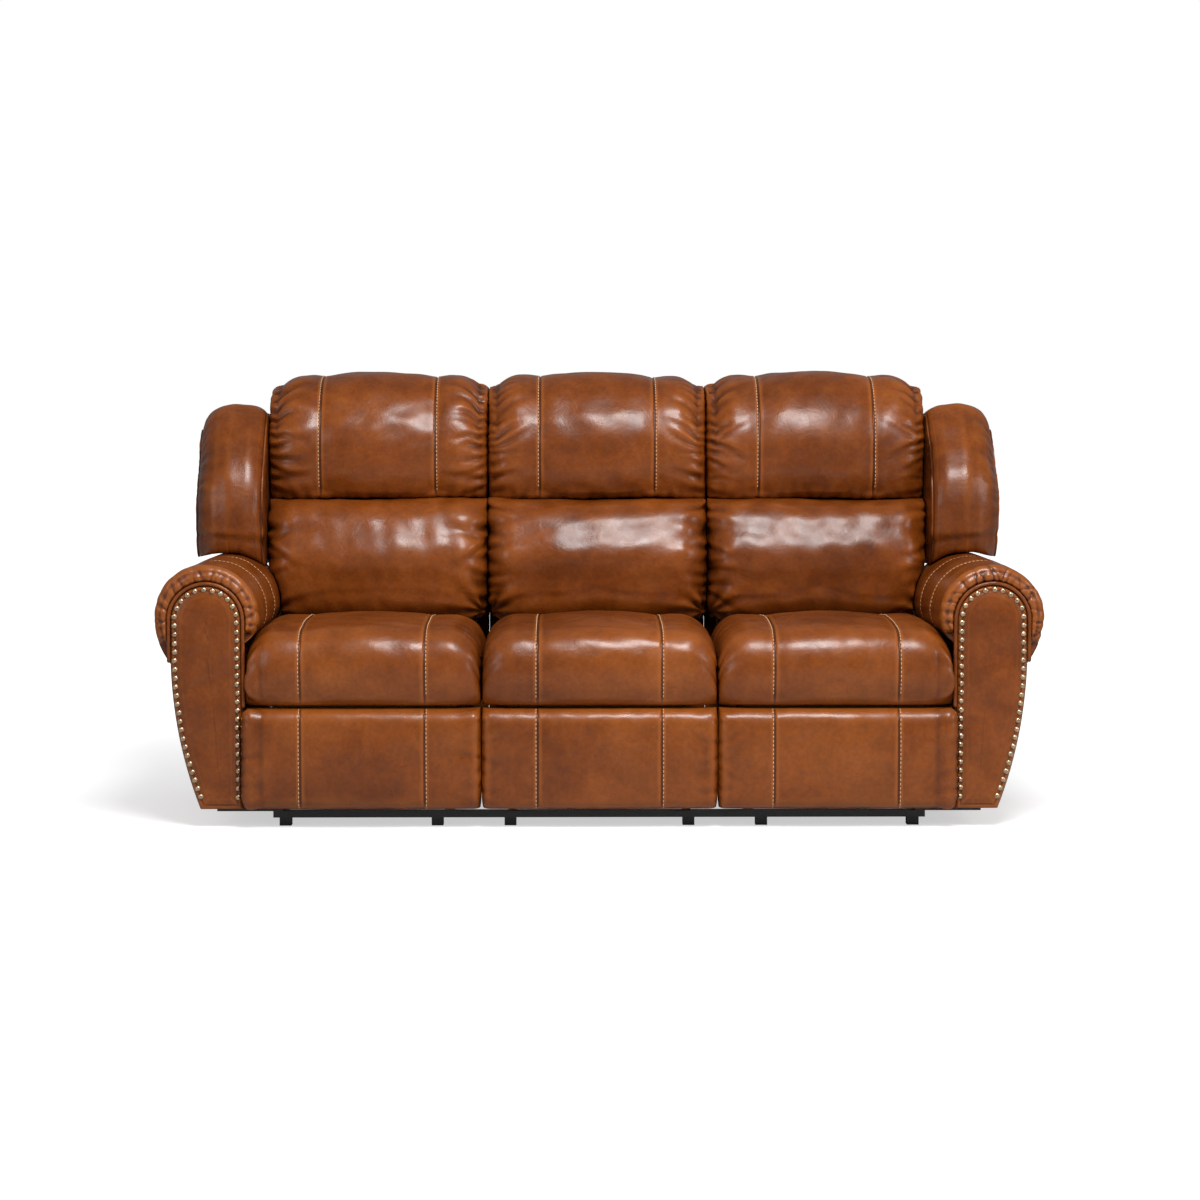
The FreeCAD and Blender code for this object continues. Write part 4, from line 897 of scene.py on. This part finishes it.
# %% [markdown]
# At the front, the tube's cover is gathered onto the edge of the panel: small pleats fan out from the welt
# and die away over the rim. The pleats are folds whose place is measured along the arch.
# %% Arm rolls
def arch_outside(points, grow=0.0):
    """How far each (x, z) is outside the arch of the panel, and the nearest place on that arch."""
    x, z = points[..., 0] - OUT_X, points[..., 1] - ARCH_Z
    up = np.clip(z, 0, None)
    far = np.hypot(x, up)
    radius = ARCH_R + grow
    scale = radius / np.maximum(far, 1e-6)
    near = np.stack([OUT_X + x * scale, np.where(z > 0, ARCH_Z + up * scale, points[..., 1])], -1)
    return far - radius, near


def roll_grid(rim, near, free):
    """The roll's outlines from front to rear, and the distance of each point from the panel's arch. They lie
    first between the arch and the rim, then turn over the rim in a quarter circle and run straight back, and
    at the rear they sink and narrow in even steps."""
    behind = PANEL_REAR + 1.5 * MM
    full = roll_loop(ROLL_Z, ROLL_SKIN, 0)
    rows, places = [], []
    for t in (1.0, 0.97, 0.9, 0.8, 0.68, 0.56, 0.44, 0.32, 0.21, 0.12, 0.05):
        flat = rim + (near - rim) * t
        swell, dip = 4.0 * math.sin(math.pi * min(1, t * 1.02)), 9 * max(0.0, t - 0.88) / 0.12
        front = ARM_FRONT + (3.5 - swell + dip) * MM
        y = front * free + behind * (1 - free)
        rows.append(np.stack([flat[:, 0], y, flat[:, 1]], 1))
        places.append(np.linalg.norm(flat - near, axis=1))
    width = np.linalg.norm(rim - near, axis=1)
    for turn in np.linspace(0, math.pi / 2, 9):
        shrink = RIM * (1 - math.sin(turn))
        loop = roll_loop(ROLL_Z, ROLL_SKIN, shrink)
        front = ARM_FRONT + 3.5 * MM + RIM * (1 - math.cos(turn))
        y = np.maximum(front * free + behind * (1 - free), ARM_FRONT + 3.5 * MM)
        rows.append(np.stack([loop[:, 0], y, loop[:, 1]], 1))
        places.append(width + RIM * turn)
    straight = np.linspace(RIM_END + 5 * MM, SINK_Y, 96)
    ys = np.concatenate([straight] + [seam + NEAR_SEAM for seam in ROLL_SEAMS])
    for y in np.unique(np.round(ys, 5)):
        rows.append(np.stack([full[:, 0], np.full(len(full), y), full[:, 1]], 1))
        places.append(width + RIM * math.pi / 2 + (y - RIM_END))
    for t in np.linspace(0.08, 1, 14):
        loop = roll_loop(ROLL_Z - 48 * MM * t, ROLL_SKIN - 30 * MM * t, 0)
        y = np.full(len(loop), SINK_Y + (ROLL_END - SINK_Y) * t)
        rows.append(np.stack([loop[:, 0], y, loop[:, 1]], 1))
        places.append(np.full(len(loop), 1.0))
    tail = rows[-1]
    for turn in np.linspace(0.15, 1.0, 8) * math.pi / 2:
        middle = tail.mean(0)
        ring = middle + (tail - middle) * (0.80 + 0.20 * math.cos(turn))
        ring[:, 1] = ROLL_END + 7.5 * MM * math.sin(turn)
        ring[:, 2] = np.maximum(ring[:, 2], LIP_Z)
        rows.append(ring)
        places.append(np.full(len(tail), 1.0))
    return np.array(rows), np.array(places)


def make_roll(side, outer, seed):
    """Arm roll: its outline carried from the panel's arch over a quarter circle of rim to the rear."""
    rim = roll_loop(ROLL_Z, ROLL_SKIN, RIM)
    beyond, near = arch_outside(rim, grow=9.5 * MM)
    near = np.where(beyond[:, None] > 0, near, rim)
    free = rise(beyond, 10 * MM)
    free = free * free * (3 - 2 * free)
    grid, place = roll_grid(rim, near, free)
    grid[..., 0] *= outer
    normal = normals_of(grid)
    shown = rise(grid[..., 2] - LIP_Z - 1 * MM, 14 * MM)
    step = np.linalg.norm(np.diff(near, axis=0, append=near[:1]), axis=1)
    along = np.cumsum(step * (beyond > 0))[None, :] + 0 * place
    arch_long = float(along.max())
    pleats = gathers(np.clip(place, 0, None), along, np.arange(0.006, arch_long, 0.0135), seed,
                     78 * MM, 1.9 * MM, 4.4 * MM)
    pleats = np.where(place < 0.4, pleats, 0) * free[None, :] * np.clip(place / (5 * MM), 0.3, 1)
    soft = 0.9 * MM * waves(grid, 0.17, seed + 1) + 0.4 * MM * waves(grid, 0.055, seed + 2) - 0.8 * MM
    height = pleats + soft * rise(place, 40 * MM)
    for seam in ROLL_SEAMS:
        gap = np.where(grid[..., 1] > ARM_FRONT + 60 * MM, grid[..., 1] - seam, 1.0)
        height -= SEAM_DEEP * np.exp(-(gap / SEAM_WIDE) ** 2) + 1.8 * MM * np.exp(-(gap / (20 * MM)) ** 2)
    grid = grid + normal * (height * shown)[..., None]
    grid[..., 2] = np.maximum(grid[..., 2], LIP_Z)
    normal = normals_of(grid)
    piece = closed_skin(f"{side}_roll_skin", grid, {"wear_and_shade": wear_and_shade_of(grid, normal)})
    piece.data.materials.append(HIDE)
    dress(piece, f"{side}_arm_roll", "base")
    parts, shown_column = [], 200
    for seam in ROLL_SEAMS:
        row = np.abs(grid[:, shown_column, 1] - (seam - 4 * MM)).argmin()
        parts.append(stitch_line(grid[row], normal[row], grid[row, :, 2] > 470 * MM))
    lines = (np.concatenate(group) for group in zip(*parts))
    thread = capsules(f"{side}_roll_stitches", *lines, STITCH_LONG, STITCH_R)
    follow(thread, "base")


for index, (side, outer) in enumerate(SIDES):
    make_roll(side, outer, 600 + index)
print("arm rolls made")

# %% [markdown]
# The front panel is a padded board: its edge is rolled, the leather is held down along the line of nails,
# and the middle swells a little. Its front is a height above the board that depends on the distance from
# its edge.
# %% Front panels
def panel_outline(inset):
    """The outline (x, z) of the right arm's panel, drawn in by an inset, from its inner foot upwards."""
    inner, radius = INNER_X + 2 * MM + inset, ARCH_R - inset
    foot = FOOT_X - 2 * MM - inset
    mid = (1026 * MM - inset, 205 * MM)
    low = ARM_LOW + inset
    left, right, knee = (OUT_X - radius, ARCH_Z), (OUT_X + radius, ARCH_Z), (OUT_X + radius, LIP_Z)
    return np.concatenate([line_points((inner, low), left, 150),
                           arc_points(left, (OUT_X, ARCH_Z + radius), right, 110),
                           line_points(right, knee, 36), arc_points(knee, mid, (foot, low), 120),
                           line_points((foot, low), (inner, low), 34)])


def distance_to(points, line):
    """Shortest distance from each point to a closed line, measured to its short straight pieces."""
    flat = points.reshape(-1, 2)
    a, b = line, np.roll(line, -1, 0)
    way = b - a
    best = np.full(len(flat), 1e9)
    for first in range(0, len(flat), 4000):
        part = flat[first:first + 4000]
        t = np.clip(((part[:, None] - a) * way).sum(2) / (way ** 2).sum(1), 0, 1)
        gap = part[:, None] - (a + t[..., None] * way)
        best[first:first + 4000] = np.sqrt((gap ** 2).sum(2).min(1))
    return best.reshape(points.shape[:-1])


PANEL_D = np.array([0, 0.6, 1.6, 3.2, 5.5, 8.0, 12.0, 17.0, 26.0, 38.0, 60.0]) * MM
PANEL_H = np.array([2.0, 7.0, 11.2, 14.6, 16.8, 17.2, 17.3, 19.0, 21.2, 22.4, 23.0]) * MM


def make_panel(side, outer, seed):
    """Front panel: its outline shrunk towards a line, with a height for each distance from its edge."""
    edge = panel_outline(0.0)
    spine_low, spine_high = np.array((930 * MM, 96 * MM)), np.array((OUT_X, ARCH_Z))
    way = spine_high - spine_low
    t = rise((edge - spine_low) @ way, way @ way)
    spine = spine_low + t[:, None] * way
    share = np.concatenate([[0, 0], 0.985 * np.linspace(0.10, 1, 46) ** 1.9])
    flat = edge + (spine - edge) * share[:, None, None]
    deep = distance_to(flat, edge)
    height = np.interp(deep, PANEL_D, PANEL_H)
    height[0] = 0
    y = PANEL_REAR - height
    grid = np.stack([flat[..., 0] * outer, y, flat[..., 1]], 2)
    uneven = 1.0 * MM * waves(grid, 0.16, seed) + 0.3 * MM * waves(grid, 0.05, seed + 1)
    grid[..., 1] -= uneven * rise(deep - 10 * MM, 20 * MM)
    grid = np.concatenate([grid[:1] * [1, 0, 1] + [0, PANEL_REAR, 0], grid])
    normal = normals_of(grid)
    piece = closed_skin(f"{side}_panel_skin", grid, {"wear_and_shade": 0.75 * wear_and_shade_of(grid, normal) + 0.125})
    piece.data.materials.append(HIDE)
    dress(piece, f"{side}_arm_front_panel", "base")


for index, (side, outer) in enumerate(SIDES):
    make_panel(side, outer, 700 + index)
print("front panels made")

# %% [markdown]
# A welt is a cord wrapped in leather and sewn between two pieces. It is a tube along the panel's arch, and
# its leather is a little uneven because it is stretched round a bend.
# %% Welts
def tube(path, across, radius, sides=12):
    """A closed tube along a path in a plane of constant Y: a circle of points round each point of the path.
    The circle is spanned by the direction across the path in that plane and by Y, and its ends are domes."""
    rows = np.concatenate([np.repeat(path[:1], 3, 0), path, np.repeat(path[-1:], 3, 0)])
    ways = np.concatenate([np.repeat(across[:1], 3, 0), across, np.repeat(across[-1:], 3, 0)])
    ahead = np.gradient(path, axis=0)
    ahead /= np.linalg.norm(ahead, axis=1, keepdims=True)
    size = np.ones(len(rows))
    for k, turn in enumerate((1.35, 0.95, 0.45)):
        size[k] = size[-1 - k] = math.cos(turn)
        rows[k] -= ahead[0] * radius * math.sin(turn)
        rows[-1 - k] += ahead[-1] * radius * math.sin(turn)
    angle = np.arange(sides) / sides * 2 * math.pi
    ring = np.cos(angle)[None, :, None] * ways[:, None] + np.sin(angle)[None, :, None] * np.array([0, 1, 0])
    return rows[:, None] + ring * (radius * size)[:, None, None]


def make_welts():
    """A tube for each arm: up the inner side of the panel, over its arch and down the outer side."""
    points, faces, start = [], [], 0
    ring = ARCH_R + WELT_R + 0.5 * MM
    for _, outer in SIDES:
        low = line_points((OUT_X - ring, 300 * MM), (OUT_X - ring, ARCH_Z), 50)
        arch = arc_points((OUT_X - ring, ARCH_Z), (OUT_X, ARCH_Z + ring), (OUT_X + ring, ARCH_Z), 90)
        down = line_points((OUT_X + ring, ARCH_Z), (OUT_X + ring, 408 * MM), 26)
        flat = np.concatenate([low, arch, down])
        path = np.stack([flat[:, 0] * outer, np.full(len(flat), ARM_FRONT + WELT_R - 1 * MM), flat[:, 1]], 1)
        ahead = np.gradient(path, axis=0)
        across = np.stack([ahead[:, 2], np.zeros(len(path)), -ahead[:, 0]], 1)
        across /= np.linalg.norm(across, axis=1, keepdims=True)
        grid = tube(path, across, 4.6 * MM)
        grid += 0.25 * MM * waves(grid, 0.02, 31)[..., None] * normals_of(grid)
        rows, columns, _ = grid.shape
        quads = grid_faces(rows, columns)
        ends = [list(range(columns))[::-1], list(range((rows - 1) * columns, rows * columns))]
        if signed_volume(grid.reshape(-1, 3), quads) < 0:
            quads, ends = quads[:, ::-1], [end[::-1] for end in ends]
        points.append(grid.reshape(-1, 3))
        faces += (quads + start).tolist() + [[v + start for v in end] for end in ends]
        start += rows * columns
    piece = mesh_piece("arm_welt_cords", np.concatenate(points), faces)
    piece.data.materials.append(HIDE_FLAT)
    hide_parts("arm_welts")
    follow(piece, "base")


make_welts()
print("welts made")

# %% [markdown]
# Upholstery nails are stamped brass domes. Each is a small fan of rings on the panel, and its size and tilt
# vary by a hair, because they are hammered in by hand.
# %% Nailheads
NAIL_R, NAIL_HIGH, NAIL_PITCH, NAIL_INSET = 7.6 * MM, 4.8 * MM, 21 * MM, 10 * MM


def make_nails():
    """Domes on the panel's line of nails: four rings of points and a crown, each ring narrower and higher."""
    rng = np.random.default_rng(77)
    outline = panel_outline(NAIL_INSET)[:416]
    gone = run_of(outline)
    count = int(gone[-1] / NAIL_PITCH)
    at = np.arange(1, count) / count * gone[-1]
    spots = points_at(at, gone, outline)
    rings = np.array([(1.0, 0.0), (0.94, 0.24), (0.72, 0.66), (0.38, 0.92)])
    angle = np.tile(np.arange(12) / 12 * 2 * math.pi, 4)
    wide = np.repeat(rings[:, 0], 12)
    dome_x, dome_z = np.append(wide * np.cos(angle), 0), np.append(wide * np.sin(angle), 0)
    dome_high = np.append(np.repeat(rings[:, 1], 12), 1)
    crown = [[36 + j, 36 + (j + 1) % 12, 48] for j in range(12)]
    dome = grid_faces(4, 12).tolist() + crown + [list(range(12))[::-1]]
    points, faces = [], []
    for _, outer in SIDES:
        for x, z in spots:
            x, z = x + rng.normal() * 0.4 * MM, z + rng.normal() * 0.4 * MM
            size = NAIL_R * rng.uniform(0.96, 1.04)
            lean = rng.normal(size=2) * 0.06
            dx, dz = size * dome_x, size * dome_z
            y = ARM_FRONT - 0.2 * MM - dome_high * NAIL_HIGH + lean[0] * dx + lean[1] * dz
            first = len(points) * len(dome_x)
            points.append(np.stack([(x + dx) * outer, y, z + dz], 1))
            faces += [[v + first for v in (loop[::-1] if outer < 0 else loop)] for loop in dome]
    piece = mesh_piece("arm_nail_domes", np.concatenate(points), faces)
    piece.data.materials.append(BRASS)
    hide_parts("arm_nailheads")
    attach(piece, "base")
    print("nails", 2 * len(spots))


make_nails()

# %% [markdown]
# Leather is drawn over the rear of each back and stapled underneath. It is a thin panel on the leaning
# plane: its edge is rolled, its corners are round, and it swells a little over the frame. The wings have
# their own.
# %% Rear covers
def rounded_box(x0, x1, z0, z1, radius, count=360):
    """A closed rectangle with round corners, evenly spaced points (x, z)."""
    turn = np.linspace(0, math.pi / 2, 12)
    parts = []
    left, right, foot, brow = x0 + radius, x1 - radius, z0 + radius, z1 - radius
    for quarter, (cx, cz) in enumerate(((right, brow), (left, brow), (left, foot), (right, foot))):
        angle = quarter * math.pi / 2 + turn
        parts.append(np.stack([cx + radius * np.cos(angle), cz + radius * np.sin(angle)], 1))
    return even(np.concatenate(parts), count)


REAR_D = np.array([0, 1.0, 3.0, 6.0, 30.0, 120.0]) * MM
REAR_H = np.array([1.2, 2.9, 4.1, 4.6, 6.2, 7.4]) * MM
COVER_HALF = SEAT_HALF - 0.3 * MM
WING_COVER = (873 * MM, 1054 * MM)


def rear_panel(name, x0, x1, z0, z1, radius, seed):
    """A panel on the leaning plane; its height behind the plane rises quickly at the edge, then slowly."""
    edge = rounded_box(x0, x1, z0, z1, radius)
    middle = edge.mean(0)
    share = np.concatenate([[0], 0.99 * np.linspace(0.04, 1, 40) ** 1.7])
    flat = edge + (middle - edge) * share[:, None, None]
    deep = distance_to(flat, edge)
    height = np.interp(deep, REAR_D, REAR_H)
    lean = line_of_back(flat[..., 1], COVER_DEEP)
    grid = np.stack([flat[..., 0], lean + height / math.cos(LEAN), flat[..., 1]], 2)
    grid[..., 1] += 0.9 * MM * waves(grid, 0.22, seed) * rise(deep - 12 * MM, 40 * MM)
    front = np.stack([edge[:, 0], line_of_back(edge[:, 1], COVER_DEEP), edge[:, 1]], 1)
    inner = front.mean(0) + (front - front.mean(0)) * 0.5
    grid = np.concatenate([inner[None], front[None], grid])
    normal = normals_of(grid)
    piece = closed_skin(name, grid, {"wear_and_shade": wear_and_shade_of(grid, normal)})
    piece.data.materials.append(HIDE)
    return piece


for index, side in enumerate(SEATS):
    middle = (index - 1) * 2 * SEAT_HALF
    low, high = corners_of(f"{side}_back_cover")
    body = body_of(side, "back")
    span = (middle - COVER_HALF, middle + COVER_HALF)
    cover = rear_panel(f"{side}_rear_skin", *span, low[2], high[2] - 3 * MM, 30 * MM, 800 + index)
    dress(cover, f"{side}_back_cover", body)
    if side != "centre":
        outer = index - 1
        wing_low, wing_high = corners_of(f"{side}_wing")
        span = sorted(outer * x for x in WING_COVER)
        rear = rear_panel(f"{side}_wing_rear_skin", *span, wing_low[2] - 2 * MM, wing_high[2] - 30 * MM,
                          34 * MM, 810 + index)
        follow(rear, body)
print("rear covers made")

# %% [markdown]
# Every piece of the frame that stays in view gets the material of the real one. Their names say what they
# are made of, so a short table of name endings is enough.
# %% Finish of the hard pieces
FINISHES = (
    ("rails", BLACK_STEEL), ("feet", FOOT), ("links", ZINC), ("brackets", ZINC), ("plates", ZINC),
    ("springs", WIRE), ("seat_frame", BOARD), ("back_frame", BOARD), ("arm_frame", BOARD), ("board", BOARD),
    ("cup", CUP), ("lever", CUP), ("cover", HIDE_FLAT), ("panels", HIDE_FLAT), ("panel", HIDE_FLAT),
    ("welts", HIDE_FLAT), ("nailheads", BRASS), ("cushion", HIDE_FLAT), ("pad", HIDE_FLAT),
    ("pillow", HIDE_FLAT), ("wing", HIDE_FLAT), ("roll", HIDE_FLAT),
)
for name, obj in NODES.items():
    finish = next(made for ending, made in FINISHES if name.endswith(ending))
    for place in obj.material_slots:
        place.material = finish
print("finished nodes", len(NODES))

# %% [markdown]
# The photograph was taken in a white studio. A pale room lights the leather from all round, one large soft
# lamp hangs high in front and a little to the right, and two weaker ones stand at the sides. The floor is
# light grey near the sofa and glows towards white further out, for the camera only, so it has no horizon.
# %% Floor
def seen_as(tree, others, camera_view):
    """Shows one shader to the camera and another to every other ray."""
    ray = tree.nodes.new("ShaderNodeLightPath")
    seen = tree.nodes.new("ShaderNodeMixShader")
    tree.links.new(ray.outputs["Is Camera Ray"], seen.inputs["Fac"])
    tree.links.new(others.outputs[0], seen.inputs[1])
    tree.links.new(camera_view.outputs[0], seen.inputs[2])
    return seen.outputs["Shader"]


floor_mesh = bpy.data.meshes.new("studio_floor")
floor_mesh.from_pydata([(-30, -30, 0), (30, -30, 0), (30, 30, 0), (-30, 30, 0)], [], [(0, 1, 2, 3)])
floor = bpy.data.objects.new("studio_floor", floor_mesh)
bpy.context.scene.collection.objects.link(floor)
floor_finish, tree, shader = fresh("studio_floor_white")
shader.inputs["Base Color"].default_value = (0.56, 0.56, 0.56, 1.0)
shader.inputs["Roughness"].default_value = 0.9
shader.inputs["Specular IOR Level"].default_value = 0.1
glow = node_of(tree, "ShaderNodeEmission", Color=(1.0, 1.0, 1.0, 1.0))
place = tree.nodes.new("ShaderNodeTexCoord").outputs["Object"]
reach = tree.nodes.new("ShaderNodeVectorMath")
reach.operation = "LENGTH"
tree.links.new(place, reach.inputs[0])
tree.links.new(range_of(tree, reach.outputs["Value"], 0.9, 2.6, 0.56, 1.0), glow.inputs["Strength"])
dark = node_of(tree, "ShaderNodeEmission", Color=(0.0, 0.0, 0.0, 1.0), Strength=0.0)
both = tree.nodes.new("ShaderNodeAddShader")
tree.links.new(shader.outputs["BSDF"], both.inputs[0])
tree.links.new(seen_as(tree, dark, glow), both.inputs[1])
tree.links.new(both.outputs["Shader"], tree.nodes["Material Output"].inputs["Surface"])
floor_mesh.materials.append(floor_finish)
print("floor made")

# %% [markdown]
# The room is a pale light from all sides, weak enough to leave shadows. The camera sees it as plain white.
# %% Room
world = bpy.context.scene.world or bpy.data.worlds.new("studio")
bpy.context.scene.world = world
world.use_nodes = True
tree = world.node_tree
tree.nodes.clear()
room = node_of(tree, "ShaderNodeBackground", Color=(1.0, 1.0, 1.0, 1.0), Strength=0.25)
white = node_of(tree, "ShaderNodeBackground", Color=(1.0, 1.0, 1.0, 1.0), Strength=1.0)
target = tree.nodes.new("ShaderNodeOutputWorld")
tree.links.new(seen_as(tree, room, white), target.inputs["Surface"])
print("room made")

# %% [markdown]
# A soft lamp is a square that shines from its whole face. The size of the square sets how soft its shadows
# are, and the power sets how bright it is.
# %% Lamps
def lamp(name, place, aim, power, size):
    """A square soft lamp at a place, turned to shine at a point."""
    light = bpy.data.lights.new(name, "AREA")
    light.energy = power
    light.size = size
    obj = bpy.data.objects.new(name, light)
    obj.location = place
    obj.rotation_euler = (Vector(aim) - Vector(place)).to_track_quat("-Z", "Y").to_euler()
    bpy.context.scene.collection.objects.link(obj)


lamp("key_lamp", (0.6, -3.1, 4.0), (0, 0, 0.5), 215.0, 1.5)
lamp("side_lamp", (4.4, -2.8, 2.2), (0, 0, 0.6), 52.0, 1.6)
lamp("fill_lamp", (-4.2, -3.8, 2.2), (0, 0, 0.6), 36.0, 2.0)
print("lamps", len(bpy.data.lights))

# %% [markdown]
# The photograph was taken from nearly the height of the back's top, seven metres in front of the arms and
# almost straight on. The same view is set with a long lens, so that far pieces are only a little smaller
# than near ones.
# %% Camera
LENS, SENSOR, CAMERA_DOWN, CAMERA_TURN = 86.16, 36.0, 4.0, -0.62
camera = bpy.data.objects.new("photo_camera", bpy.data.cameras.new("photo_camera"))
camera.data.lens = LENS
camera.data.sensor_width = SENSOR
camera.location = (-0.075, -7.465, 1.05)
camera.rotation_euler = (math.radians(90 - CAMERA_DOWN), 0, math.radians(CAMERA_TURN))
bpy.context.scene.collection.objects.link(camera)
bpy.context.scene.camera = camera
bpy.context.scene.view_settings.view_transform = "Standard"
print("camera at", tuple(camera.location))
